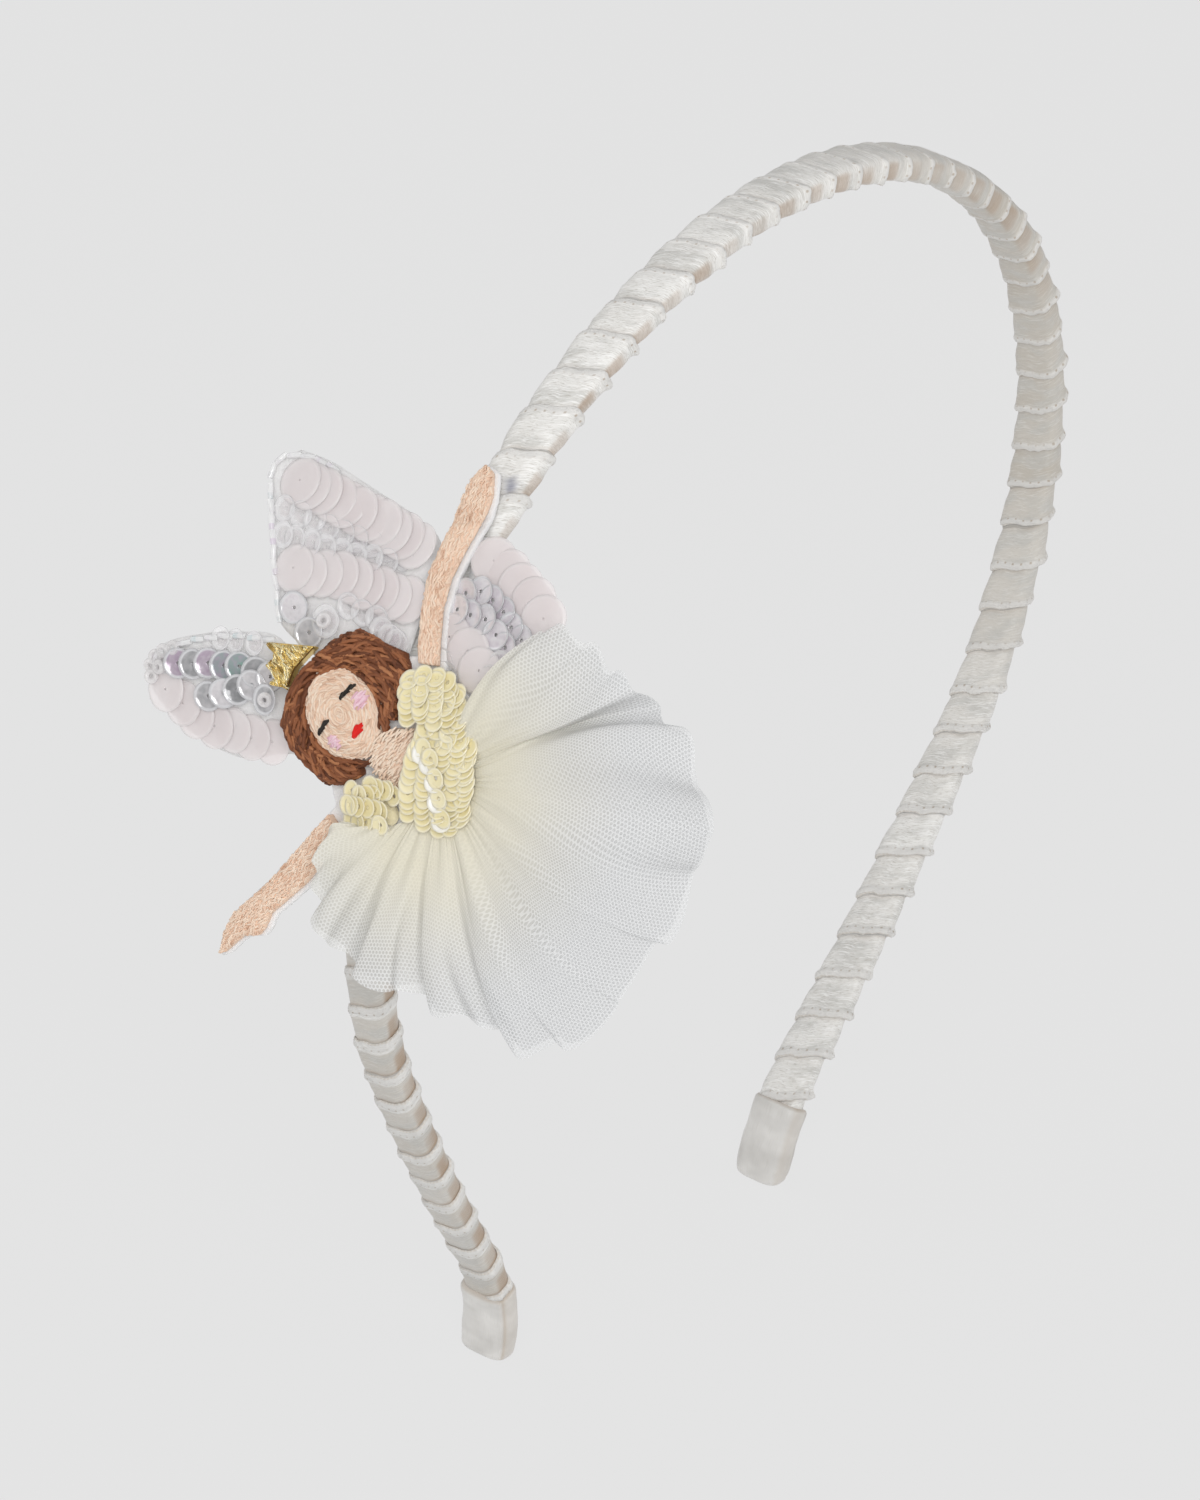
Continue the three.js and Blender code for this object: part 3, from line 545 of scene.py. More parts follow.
def face_oval(u, v):
    """Distances from the face's middle, as shares of its oval."""
    tilt = math.radians(FACE["tilt"])
    ahead, beside = np.asarray(u, float) - FACE["at"][0], np.asarray(v, float) - FACE["at"][1]
    along = (ahead * math.cos(tilt) + beside * math.sin(tilt)) / FACE["along"]
    across = (beside * math.cos(tilt) - ahead * math.sin(tilt)) / FACE["across"]
    return np.hypot(along, across)


class Pad:
    """A padded CAD node, felt from above along the fairy's heights."""

    TOP = 15.0

    def __init__(self, *nodes, seam=None):
        points, faces = [], []
        for node in nodes:
            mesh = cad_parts[node].data
            start = len(points)
            points.extend(vertex.co / MM for vertex in mesh.vertices)
            faces.extend([start + corner for corner in face.vertices] for face in mesh.polygons)
        self.tree = BVHTree.FromPolygons(points, faces)
        self.seam = seam

    def heights(self, u, v):
        """Heights of the pad's surface and of the seam round the face, or nan beside them."""
        starts = fairy_point(u, v, self.TOP)
        downs = -fairy_out(v)
        found = np.full(len(starts), np.nan)
        for place, (start, down) in enumerate(zip(starts, downs)):
            hit = self.tree.ray_cast(Vector(start), Vector(down))
            if hit[0] is not None:
                found[place] = self.TOP - hit[3]
        if self.seam:
            low, high, height = self.seam
            oval = face_oval(u, v)
            found[np.isnan(found) & (oval > low) & (oval < high)] = height
        return found


def lay_thread(pad, line, lift, dip, count):
    """A thread's path in (u, v, h): a line's longest stretch on the pad, sunk at both ends."""
    line = np.asarray(line, float)
    heights = pad.heights(line[:, 0], line[:, 1])
    between = np.append(np.insert((heights[:-2] + heights[2:]) / 2, 0, np.nan), np.nan)
    heights = np.where(np.isnan(heights), between, heights)
    best, start = (0, 0), 0
    for place in range(len(line) + 1):
        if place == len(line) or np.isnan(heights[place]):
            if place - start > best[1] - best[0]:
                best = (start, place)
            start = place + 1
    if best[1] - best[0] < 3:
        return None
    run = np.column_stack([line, heights])[best[0]:best[1]]
    share = np.linspace(0, 1, count)
    path = np.stack([np.interp(share, np.linspace(0, 1, len(run)), run[:, axis]) for axis in range(3)], -1)
    path[:, 2] += lift - dip * np.abs(2 * share - 1) ** 5
    return path


def lay_all(pad, lines, lift, dip, count=STITCH_POINTS):
    """Thread paths over a pad for all the lines that meet it."""
    lifts = np.broadcast_to(lift, len(lines))
    found = [lay_thread(pad, line, height, dip, count) for line, height in zip(lines, lifts)]
    return np.array([path for path in found if path is not None])


def add_threads(pile, paths, radius, tones, look=0, sides=7, ply=2, twist=2.4, taper=0.55):
    """Twisted threads along paths in (u, v, h) of equally many points."""
    paths = np.asarray(paths, float)
    count, steps = paths.shape[:2]
    middle = fairy_point(paths[..., 0], paths[..., 1], paths[..., 2])
    ahead = np.gradient(middle, axis=1)
    ahead /= np.linalg.norm(ahead, axis=-1, keepdims=True)
    side = np.cross(ahead, fairy_out(paths[..., 1]))
    side /= np.linalg.norm(side, axis=-1, keepdims=True)
    up = np.cross(side, ahead)
    length = np.linalg.norm(np.diff(middle, axis=1), axis=-1)
    along = np.concatenate([np.zeros((count, 1)), np.cumsum(length, axis=1)], axis=1)[..., None]
    turn = circle(sides)
    lobes = 1 + (0.17 if ply else 0) * np.cos(ply * (turn - twist * along))
    ends = np.abs(np.linspace(-1, 1, steps)) ** 6
    width = np.broadcast_to(np.asarray(radius, float), count)[:, None] * (1 - taper * ends)
    ring = np.cos(turn)[:, None] * side[..., None, :] + np.sin(turn)[:, None] * up[..., None, :]
    points = middle[..., None, :] + (width[..., None] * lobes)[..., None] * ring
    grain = np.stack(np.broadcast_arrays(along, turn, 13 * np.asarray(tones)[:, None, None]), -1)
    starts = np.arange(count)[:, None, None] * steps * sides
    quads = (grid_quads(steps, sides, True)[None] + starts).reshape(-1, 4)
    pile.add(points, quads, np.repeat(tones, steps * sides), look, grain)


def thread_pile(paths, chance, radius, tones=(0, 1), **thread):
    """A pile of threads with thicknesses and tones drawn between two ends."""
    pile = Pile()
    count = len(paths)
    add_threads(pile, paths, chance.uniform(*radius, count), chance.uniform(*tones, count), sides=6, **thread)
    return pile


def lathe(outline, sides):
    """Points, quads and grain of a closed outline of (radius, height) turned round its axis."""
    turn = circle(sides)
    radius, height = np.array(outline, float).T[:, :, None]
    points = np.stack(np.broadcast_arrays(radius * np.cos(turn), radius * np.sin(turn), height), -1)
    quads = grid_quads(len(outline) + 1, sides, True) % (len(outline) * sides)
    grain = np.stack(np.broadcast_arrays(radius / radius.max(), turn, 0.0), -1)
    return points.reshape(-1, 3), quads, grain


def sequin_outline(size, hole, flat, cup, thickness):
    """Outline of a sequin: flat out to a share of its radius, then raised by cup at its rim."""
    rim = size / 2
    top = [(hole, 0), (hole + 0.07, 0), (flat * rim, 0), ((flat + 1) / 2 * rim, cup * 0.45), (rim, cup)]
    return top + [(radius, height - thickness) for radius, height in reversed(top)]


def seat(shape, u, v, h, rise=0.0, tilt=0.0):
    """A shape's points stood on the fairy's layers, with its side towards rise lifted by tilt, in degrees."""
    toward = np.array([math.cos(math.radians(rise)), math.sin(math.radians(rise))])
    lean = math.radians(tilt)
    along = shape[:, :2] @ toward
    moved = along * math.cos(lean) - shape[:, 2] * math.sin(lean)
    flat = shape[:, :2] + (moved - along)[:, None] * toward
    height = along * math.sin(lean) + shape[:, 2] * math.cos(lean)
    return fairy_point(u + flat[:, 0], v + flat[:, 1], h + height)


class Look:
    """A material and the nodes that paint it."""

    def __init__(self, name, values):
        self.material = bpy.data.materials.new(name)
        self.material.use_nodes = True
        self.tree = self.material.node_tree
        self.shader = self.tree.nodes["Principled BSDF"]
        self.fill(self.shader, values)

    def fill(self, node, values):
        for key, value in values.items():
            if isinstance(value, bpy.types.NodeSocket):
                self.tree.links.new(value, node.inputs[key])
            else:
                node.inputs[key].default_value = value

    def add(self, kind, values=None, **settings):
        node = self.tree.nodes.new("ShaderNode" + kind)
        for key, value in settings.items():
            setattr(node, key, value)
        self.fill(node, values or {})
        return node

    def value(self, name):
        return self.add("Attribute", attribute_name=name).outputs["Fac"]

    def vector(self, name):
        return self.add("Attribute", attribute_name=name).outputs["Vector"]

    def parts(self, vector):
        return self.add("SeparateXYZ", {0: vector}).outputs

    def place(self):
        return self.add("TexCoord").outputs["Object"]

    def noise(self, vector, scale, detail=3.0, roughness=0.55, stretch=None):
        if stretch:
            vector = self.add("VectorMath", {0: vector, 1: stretch}, operation="MULTIPLY").outputs["Vector"]
        values = {"Vector": vector, "Scale": scale, "Detail": detail, "Roughness": roughness}
        return self.add("TexNoise", values).outputs["Fac"]

    def math(self, operation, first, second=0.0):
        return self.add("Math", {0: first, 1: second}, operation=operation).outputs[0]

    def times(self, first, second):
        return self.math("MULTIPLY", first, second)

    def plus(self, first, second):
        return self.math("ADD", first, second)

    def blend(self, first, first_share, second, second_share):
        return self.plus(self.times(first, first_share), self.times(second, second_share))

    def wave(self, value, period):
        return self.math("SINE", self.times(value, 2 * math.pi / period))

    def span(self, value, low, high, first=0.0, last=1.0):
        values = {"Value": value, "From Min": low, "From Max": high, "To Min": first, "To Max": last}
        return self.add("MapRange", values, interpolation_type="SMOOTHSTEP").outputs["Result"]

    def ramp(self, factor, stops):
        node = self.add("ValToRGB", {"Fac": factor})
        for place, (position, colour) in enumerate(stops):
            stop = node.color_ramp.elements[place] if place < 2 else node.color_ramp.elements.new(position)
            stop.position, stop.color = position, (*colour, 1)
        return node.outputs["Color"]

    def mix(self, factor, ground, colour):
        node = self.add("Mix", data_type="RGBA")
        self.fill(node, {0: factor, 6: ground, 7: (*colour, 1)})
        return node.outputs[2]

    def stain(self, factor, strength, ground, colour):
        return self.mix(self.times(factor, strength), ground, colour)

    def bump(self, height, distance, strength=1.0):
        values = {"Height": height, "Distance": distance * MM, "Strength": strength}
        self.fill(self.shader, {"Normal": self.add("Bump", values).outputs["Normal"]})

    def colour(self, socket):
        self.fill(self.shader, {"Base Color": socket})


def satin_look(name):
    """Satin ribbon: fine lines along it with bright streaks painted as its glints, dots inside its edge,
    painted shade in tan at the folds, recesses and under the rolled edge, painted shade where it is shaded,
    and a pen mark.
    """
    look = Look(name, {"Roughness": 0.4, "Specular IOR Level": 0.4, "Sheen Weight": 0.15})
    look.fill(look.shader, {"Sheen Roughness": 0.4})
    weave = look.vector("weave")
    lines = look.noise(weave, 1, 3, 0.6, (0.8, 5.6, 1))
    fine = look.noise(weave, 1, 2, 0.6, (1.8, 13, 1))
    cloud = look.noise(weave, 1, 2, 0.5, (0.25, 0.5, 1))
    fluff = look.noise(weave, 1, 3, 0.7, (5, 5, 1))
    along, across, _ = look.parts(weave)
    rim = look.span(across, 0.76 * RIBBON_PITCH, 0.84 * RIBBON_PITCH)
    edge = look.span(across, 0.945 * RIBBON_PITCH, 0.975 * RIBBON_PITCH)
    from_dots = look.math("ABSOLUTE", look.math("SUBTRACT", across, 0.82 * RIBBON_PITCH))
    dots = look.times(look.span(look.wave(along, DOT), 0.55, 0.95), look.span(from_dots, 0.05, 0.17, 1, 0))
    # Painted shade: the ground darkens from ivory to taupe where the ribbon is shaded.
    painted_shade = look.value("painted_shade")
    ground = look.ramp(painted_shade, TONES[name])
    ground = look.stain(look.span(cloud, 0.42, 0.66), 0.6, ground, (0.52, 0.515, 0.49))
    # Painted highlight: bright streaks along the fine lines stand in for the satin's glints, fewer where it
    # is shaded.
    painted_shine = look.span(painted_shade, 0.1, 0.5, 0.7, 0.2)
    ground = look.stain(look.span(lines, 0.5, 0.64), painted_shine, ground, (0.93, 0.925, 0.91))
    streak = look.span(painted_shade, 0.1, 0.5, 0.55, 0.25)
    ground = look.stain(look.span(fine, 0.52, 0.68), streak, ground, (0.38, 0.35, 0.30))
    ground = look.stain(rim, 0.75, ground, (0.80, 0.785, 0.76))
    ground = look.stain(dots, look.span(cloud, 0.3, 0.62, 0.15, 0.65), ground, (0.36, 0.27, 0.18))
    # Painted shade: a tan line with picot loops where the rolled edge drops to the next turn.
    loops = look.span(look.wave(along, PICOT), -0.6, 0.8, 0.32, 0.18)
    ground = look.stain(edge, loops, ground, (0.46, 0.36, 0.24))
    # Painted shade in tan, in the folds and recesses.
    ground = look.mix(look.value("painted_tan_shade"), ground, (0.36, 0.235, 0.14))
    look.colour(look.mix(look.value("mark"), ground, (0.12, 0.13, 0.22)))
    threads = look.plus(look.times(fine, 0.45), lines)
    look.bump(look.plus(threads, look.times(look.times(fluff, rim), 2.2)), 0.1, 0.9)
    return look


def cap_look(name):
    """Smooth folded satin with soft clouds and hairlines, and painted shade in tan at its seam, beside its
    fold and over its front.
    """
    look = Look(name, {"Roughness": 0.36, "Sheen Weight": 0.15, "Specular IOR Level": 0.45})
    weave = look.vector("weave")
    cloud = look.noise(weave, 1, 2, 0.5, (0.3, 0.35, 1))
    hairs = look.noise(weave, 1, 3, 0.6, (7, 0.5, 1))
    ground = look.ramp(cloud, TONES[name])
    ground = look.stain(look.span(hairs, 0.5, 0.75), 0.3, ground, (0.50, 0.47, 0.43))
    # Painted shade in tan, at the seam, beside the fold and over the front.
    look.colour(look.mix(look.value("painted_tan_shade"), ground, (0.42, 0.33, 0.24)))
    look.bump(hairs, 0.04, 0.5)
    return look


def felt_look(name):
    """Felt: matted fibres over soft clouds."""
    look = Look(name, {"Roughness": 0.95, "Sheen Weight": 0.5, "Specular IOR Level": 0.1})
    place = look.place()
    fibres = look.noise(place, 5200, 5, 0.7)
    clouds = look.noise(place, 420, 2)
    look.colour(look.ramp(look.blend(fibres, 0.6, clouds, 0.4), TONES[name]))
    look.bump(fibres, 0.12, 0.9)
    return look


def thread_look(name, roughness=0.62, metallic=0.0, fibre=0.6):
    """Embroidery thread: a tone for each stitch and fine fibres along it."""
    look = Look(name, {"Roughness": roughness, "Metallic": metallic, "Specular IOR Level": 0.3})
    fibres = look.noise(look.vector("grain"), 1.6, 3, 0.6, (1.2, 2.2, 1))
    look.colour(look.ramp(look.blend(look.value("tone"), 0.75, fibres, 0.35), TONES[name]))
    look.bump(fibres, 0.08, fibre)
    return look


def frosted_look(name):
    """Large milky sequins, faintly pink, which show what is under them, with a rim painted lighter as a
    highlight.
    """
    look = Look(name, {"Roughness": 0.36, "Coat Weight": 0.12, "Coat Roughness": 0.25, "Alpha": 0.5})
    clouds = look.noise(look.place(), 500)
    reach = look.parts(look.vector("grain"))["X"]
    ground = look.ramp(look.blend(look.value("tone"), 0.5, clouds, 0.5), TONES[name])
    # Painted highlight: the rim is painted lighter.
    look.colour(look.stain(look.span(reach, 0.8, 0.98), 0.55, ground, (0.95, 0.92, 0.92)))
    look.bump(clouds, 0.03, 0.2)
    return look


def clear_look(name, rim, middle_cover, rim_cover, metallic=0.0, edge=0.54):
    """Clear plastic or glass, lined with silver: a darker middle, a bevel and rim painted bright as a
    highlight, and a see-through rim.
    """
    look = Look(name, {"Roughness": 0.13, "Metallic": metallic, "Coat Weight": 0.7, "Coat Roughness": 0.05})
    reach = look.parts(look.vector("grain"))["X"]
    ripple = look.noise(look.place(), 1300, 2)
    ground = look.ramp(look.blend(look.value("tone"), 0.8, ripple, 0.3), TONES[name])
    # Painted highlight: the bevel and rim take the bright rim colour.
    look.colour(look.mix(look.span(reach, edge, edge + 0.12), ground, rim))
    look.bump(ripple, 0.05, 0.5)
    facing = look.add("LayerWeight", {"Blend": 0.35}).outputs["Facing"]
    cover = look.span(reach, edge + 0.02, edge + 0.21, middle_cover, rim_cover)
    look.fill(look.shader, {"Alpha": look.math("MINIMUM", look.plus(cover, look.times(facing, 0.35)), 1.0)})
    return look


def cream_look(name):
    """Cream cup sequins: translucent plastic, darker round the hole, with a paler rim painted as a highlight.
    """
    look = Look(name, {"Roughness": 0.22, "Coat Weight": 0.5, "Coat Roughness": 0.08, "Alpha": 0.72})
    look.fill(look.shader, {"Specular IOR Level": 0.5})
    reach = look.parts(look.vector("grain"))["X"]
    clouds = look.noise(look.place(), 500)
    ground = look.ramp(look.blend(look.value("tone"), 0.6, clouds, 0.4), TONES[name])
    ground = look.mix(look.span(reach, 0.2, 0.27, 0.4, 0.0), ground, (0.60, 0.46, 0.24))
    # Painted highlight: the rim is painted paler.
    look.colour(look.stain(look.span(reach, 0.7, 0.98), 0.6, ground, (1.0, 0.96, 0.83)))
    look.bump(clouds, 0.03, 0.3)
    return look


def tulle_look(name):
    """Tulle: a net of small round cells, closed up and creamy where it is gathered at the waist."""
    look = Look(name, {"Roughness": 0.6, "Specular IOR Level": 0.25})
    across, along, spread = look.parts(look.vector("net"))
    x = look.times(across, 2 * math.pi / NET_CELL)
    y = look.times(along, 2 * math.pi / NET_CELL * math.sqrt(3) / 2)
    half = look.times(x, 0.5)
    slants = [look.math("COSINE", look.math(sign, half, y)) for sign in ("ADD", "SUBTRACT")]
    waves = look.plus(look.math("COSINE", x), look.plus(*slants))
    threads = look.span(waves, -0.9, 0.5, 1.0, 0.0)
    cells = look.span(spread, 0.0, 1.0, 0.95, 0.46)
    raised = look.math("SUBTRACT", look.span(spread, 0.0, 1.0, 1.0, 0.84), cells)
    look.fill(look.shader, {"Alpha": look.plus(cells, look.times(threads, raised))})
    clouds = look.noise(look.place(), 160)
    ground = look.ramp(look.blend(spread, 0.85, clouds, 0.25), TONES[name])
    look.colour(look.stain(look.times(threads, spread), 0.6, ground, (0.80, 0.805, 0.81)))
    look.bump(threads, 0.05, 0.4)
    return look


def ribbon_relief(across, round_at, distance, turn, lower_left):
    """Heights of the ribbon over the band: a slope up to its rolled edge, a soft belly and creases."""
    front = smooth(-np.cos(turn), 0.55, 0.9)
    swell = 0.11 + 0.06 * lower_left + 0.07 * smooth(distance, 40, 110)
    roll = bell(across, 0.87 - 0.05 * lower_left, 0.08 + 0.05 * lower_left) * swell
    corner = 0.28 * bell(across, 0.9, 0.12) * front * (1 - 0.6 * lower_left)
    uneven = 0.9 + 0.3 * wander(round_at, 9, 5)
    slope = RIBBON_STEP * np.clip(across / 0.74, 0, 1) * uneven * (1 - 0.4 * lower_left)
    slack = 1 + 0.5 * wander(round_at, 5, 11)
    belly = 0.13 * np.sin(np.pi * np.clip(across / 0.86, 0, 1)) * (1 - lower_left) * slack
    folds = 0.05 * wander(round_at + 2.2 * across * RIBBON_PITCH, 2.1, 6)
    crease = folds * np.sin(np.pi * np.clip(across / 0.9, 0, 1))
    tuft = 1 + 0.4 * wander(round_at, 0.5, 12) + 0.25 * wander(round_at, 2.5, 13)
    return (slope + belly + crease + (roll + corner) * tuft) * np.where(across > 0.98, 0.3, 1)


def ribbon_tints(across, round_at, distance, turn, lower_left, y, out):
    """Shares of painted tan shade in the folds and recesses, of painted shade over the crown, the upper right
    side and the satin between the lower left rolls, and of the pen mark along the ribbon.
    """
    # Painted shade: tan where each turn comes out from under the rolled edge of the last, and in the recesses
    # of the front edge between the rolls.
    fold = bell(across, 0, 0.06) * (0.55 + 0.35 * wander(round_at, 1.7, 8))
    under = smooth(turn, 2.55, 2.95) * smooth(turn, 4.2, 3.7)
    patchy = 0.8 + 0.45 * wander(round_at, 1.6, 9)
    recess = under * smooth(across, 0.6, 0.38) * (0.55 + 0.1 * lower_left) * patchy
    painted_tan_shade = np.clip(fold * (0.25 + 0.4 * lower_left) + recess * smooth(distance, 75, 45), 0, 0.85)
    # Painted shade: the satin is darkened over the crown and the upper right side, and between the rolls on
    # the lower left leg.
    shaded_upper_right = smooth(distance, -15, 50) * smooth(distance, 145, 85)
    painted_shade = 0.06 + 0.55 * lower_left * smooth(across, 0.74, 0.64) + 0.68 * shaded_upper_right
    painted_shade = np.clip(painted_shade + 0.1 * wander(round_at, 7, 10), 0, 1)
    ahead, beside = distance + PEN_MARK["distance"], y - PEN_MARK["y"]
    blot = bell(ahead, 0, 0.7) * bell(beside, 0, 0.55)
    streak = bell(ahead, 0.6, 0.3) * bell(beside, 0.6, 0.9)
    return {"painted_tan_shade": painted_tan_shade, "painted_shade": painted_shade, "mark": np.clip(0.7 * blot + 0.35 * streak, 0, 0.75) * (out > 0)}


def build_band(look):
    """The ribbon wound in one helix, each turn with a rolled edge over the turn above it."""
    fine = np.linspace(0, 2 * np.pi, 6001)
    edge_y, edge_out = section(fine, BAND_WIDTH / 2, BAND_THICKNESS / 2)
    edge = np.concatenate([[0], np.cumsum(np.hypot(np.diff(edge_y), np.diff(edge_out)))])
    girth = edge[-1]
    around_at = np.arange(RIBBON_COLUMNS) * girth / RIBBON_COLUMNS
    turn = np.interp(around_at, edge, fine)
    first = math.floor(-WOUND_END / RIBBON_PITCH) - 2
    number = np.arange(first, 2 - first)[:, None, None]
    across = RIBBON_ACROSS[None, :, None]
    round_at = girth * number + around_at
    phase = (turn - 0.3 * np.sin(2 * turn)) / (2 * np.pi)
    loose = 0.05 * wander(round_at, 12, 3) + 0.03 * wander(round_at, 3.4, 4) + 0.02 * wander(round_at, 0.5, 7)
    distance = RIBBON_PITCH * (number + across + smooth(across, 0.55, 0.95) * loose + phase)
    lower_left = smooth(-distance, 76, 96)
    ended = np.abs(distance) >= WOUND_END
    height = np.where(ended, 0, ribbon_relief(across, round_at, distance, turn, lower_left))
    y, out = section(turn, BAND_WIDTH / 2 + height, BAND_THICKNESS / 2 + height)
    points = band_point(np.clip(distance, -WOUND_END, WOUND_END), y, out)
    ids = np.arange(distance.size).reshape(-1, RIBBON_COLUMNS)
    turn_rows = len(RIBBON_ACROSS)
    seam = np.concatenate([ids[turn_rows:, 0], np.full(turn_rows, ids[-1, 0])])
    quads = quads_of(np.column_stack([ids, seam]))
    quads = quads[~ended.reshape(-1)[quads].all(axis=1)]
    full = np.broadcast_to(across, distance.shape)
    tints = ribbon_tints(full, round_at, distance, turn, lower_left, y, out)
    weave = np.stack(np.broadcast_arrays(round_at, full * RIBBON_PITCH, 3.7 * number), -1)
    mesh = make_mesh("ribbon_wound_band", points, quads, [look], floats=tints, vectors={"weave": weave})
    return add_piece(mesh, "ribbon_band", "band")


def build_cap(node, side, look):
    """Ribbon folded over a tip: a soft tube with a fold down its front corner and a rolled lip."""
    share, size = CAP_OUTLINE.T[:, :, None]
    turn = circle(CAP_COLUMNS) + np.pi / CAP_COLUMNS
    at = WOUND_END - CAP_LAP + share * (HALF_LENGTH - WOUND_END + CAP_LAP)
    ridge = 0.2 * bell(turn, 2.45, 0.1) - 0.12 * bell(turn, 2.7, 0.12)
    slack = 0.05 * wander(turn * 1.1 + 9 * share, 0.9, 21 + side) * smooth(share, 0.02, 0.2)
    grow = size + (ridge + slack) * smooth(share, 1, 0.85)
    y, out = section(turn, np.maximum(CAP_WIDTH / 2 + grow, 0.02), np.maximum(CAP_THICKNESS / 2 + grow, 0.01))
    points = band_point(side * at + 0 * turn, y, out)
    weave = np.stack(np.broadcast_arrays(y + out, at, 0.0), -1)
    # Painted shade in tan: at the seam with the wound ribbon, in the groove beside the fold and over the
    # front side.
    painted_tan_shade = 0.5 * bell(share, 0, 0.02) + 0.3 * bell(turn, 2.72, 0.1) + 0.25 * smooth(-np.cos(turn), 0.7, 0.95)
    quads = grid_quads(len(share), CAP_COLUMNS, True)
    mesh = make_mesh(f"{node}_folded", points, quads, [look], floats={"painted_tan_shade": painted_tan_shade}, vectors={"weave": weave})
    return add_piece(mesh, "ribbon_cap", node)


def flowing(known, count):
    """A smooth line of points through known ones."""
    at = np.linspace(0, len(known) - 1, count)
    cell = np.minimum(at.astype(int), len(known) - 2)
    padded = np.vstack([2 * known[0] - known[1], known, 2 * known[-1] - known[-2]])
    t = (at - cell)[:, None]
    a, b, c, d = (padded[cell + step] for step in range(4))
    return b + 0.5 * t * (c - a + t * (2 * a - 5 * b + 4 * c - d + t * (3 * (b - c) + d - a)))


def build_wing_felt(name, rows, look):
    """A wing's felt sheet with soft edges, from rows that run from a left point to a right point."""
    count, columns = FELT_GRID["rows"], FELT_GRID["columns"]
    left, right = (flowing(np.array([row[side] for row in rows], float), count) for side in ("left", "right"))
    across = np.linspace(0, 1, columns)
    share = across[None, :, None]
    u, v = np.moveaxis(left[:, None] * (1 - share) + right[:, None] * share, -1, 0)
    soft_sides = 0.35 + 0.65 * (1 - np.abs(2 * across - 1) ** 8)
    soft_ends = np.minimum(1, 0.2 + 0.8 * np.sin(np.pi * np.linspace(0, 1, count)) ** 0.3)
    half = WING_FELT / 2 * soft_sides * soft_ends[:, None]
    rough = 0.05 * wander(u * 1.1 + v * 3.1, 0.6, 41)
    top = fairy_point(u, v, WING_FELT / 2 + half + rough)
    low = fairy_point(u, v, WING_FELT / 2 - half)
    rings = np.concatenate([top, low[:, ::-1]], axis=1)
    first = np.arange(columns - 1)
    ends_first = np.stack([first, 2 * columns - 1 - first, 2 * columns - 2 - first, first + 1], -1)
    ends_last = ends_first[:, ::-1] + (count - 1) * 2 * columns
    quads = np.concatenate([grid_quads(count, 2 * columns, True), ends_first, ends_last])
    piece = add_piece(make_mesh(f"{name}_felt", rings, quads, [look]), "wing_felt", name)
    return piece


def build_wing_sequins(name, looks, seed):
    """A wing's sequins row by row, its seed beads and the bugle beads along its edge."""
    chance = np.random.default_rng(seed)
    pile = Pile()
    for row in SEQUIN_ROWS[name]:
        places, _ = path_points(row["path"], row["count"])
        shape, quads, grain = lathe(sequin_outline(row["size"], **SEQUINS[row["kind"]]), 36)
        for place in places:
            u, v = place + chance.normal(0, 0.1, 2)
            tilt = SEQUIN_TILT[row["kind"]] + chance.normal(0, 3)
            height = row["h"] + chance.uniform(0, 0.1)
            points = seat(shape, u, v, height, row["rise"] + chance.normal(0, 12), tilt)
            tone = chance.uniform(*row.get("tones", (0, 1)))
            pile.add(points, quads, tone, FIELD_ORDER.index(row["kind"]), grain)
    ring = circle(12)
    radius = SEED_BEAD["radius"] + SEED_BEAD["wall"] * np.cos(ring)
    bead, quads, grain = lathe(np.stack([radius, SEED_BEAD["half_height"] * np.sin(ring)], -1), 20)
    for seed_bead in SEED_BEADS[name]:
        points = seat(bead, **seed_bead, rise=chance.uniform(0, 360), tilt=SEED_BEAD["tilt"])
        pile.add(points, quads, chance.uniform(0, 1), FIELD_ORDER.index("seed"), grain)
    paths = []
    half = BUGLE_BEAD["half_length"]
    for row in BUGLE_ROWS[name]:
        places, angles = path_points(row["path"], row["count"], half)
        for (u, v), angle in zip(places, angles + chance.normal(0, 0.1, len(places))):
            step = np.linspace(-half, half, 5) * chance.uniform(0.9, 1.1)
            height = BUGLE_BEAD["h"] + chance.uniform(0, 0.12) + 0 * step
            paths.append(np.stack([u + step * math.cos(angle), v + step * math.sin(angle), height], -1))
    tones = chance.uniform(0, 1, len(paths))
    bugle = FIELD_ORDER.index("bugle")
    add_threads(pile, paths, BUGLE_BEAD["radius"], tones, bugle, sides=8, ply=0, taper=0.12)
    return add_piece(pile.mesh(f"{name}_sequin_field", looks), "wing_sequin", f"{name}_sequins")


def soft_copy(node, voxel, rounds):
    """Points and quads of a CAD node with its facets rounded off, in mm."""
    piece = bpy.data.objects.new("soft_copy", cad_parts[node].data.copy())
    bpy.context.scene.collection.objects.link(piece)
    piece.data.transform(Matrix.Scale(1 / MM, 4))
    remesh = piece.modifiers.new("remesh", "REMESH")
    remesh.mode, remesh.voxel_size = "VOXEL", voxel
    relax = piece.modifiers.new("relax", "SMOOTH")
    relax.factor, relax.iterations = 0.5, rounds
    made = piece.evaluated_get(bpy.context.evaluated_depsgraph_get()).to_mesh()
    points = np.array([vertex.co for vertex in made.vertices], float)
    quads = np.array([tuple(face.vertices) for face in made.polygons if len(face.vertices) == 4])
    bpy.data.objects.remove(piece)
    return points, quads


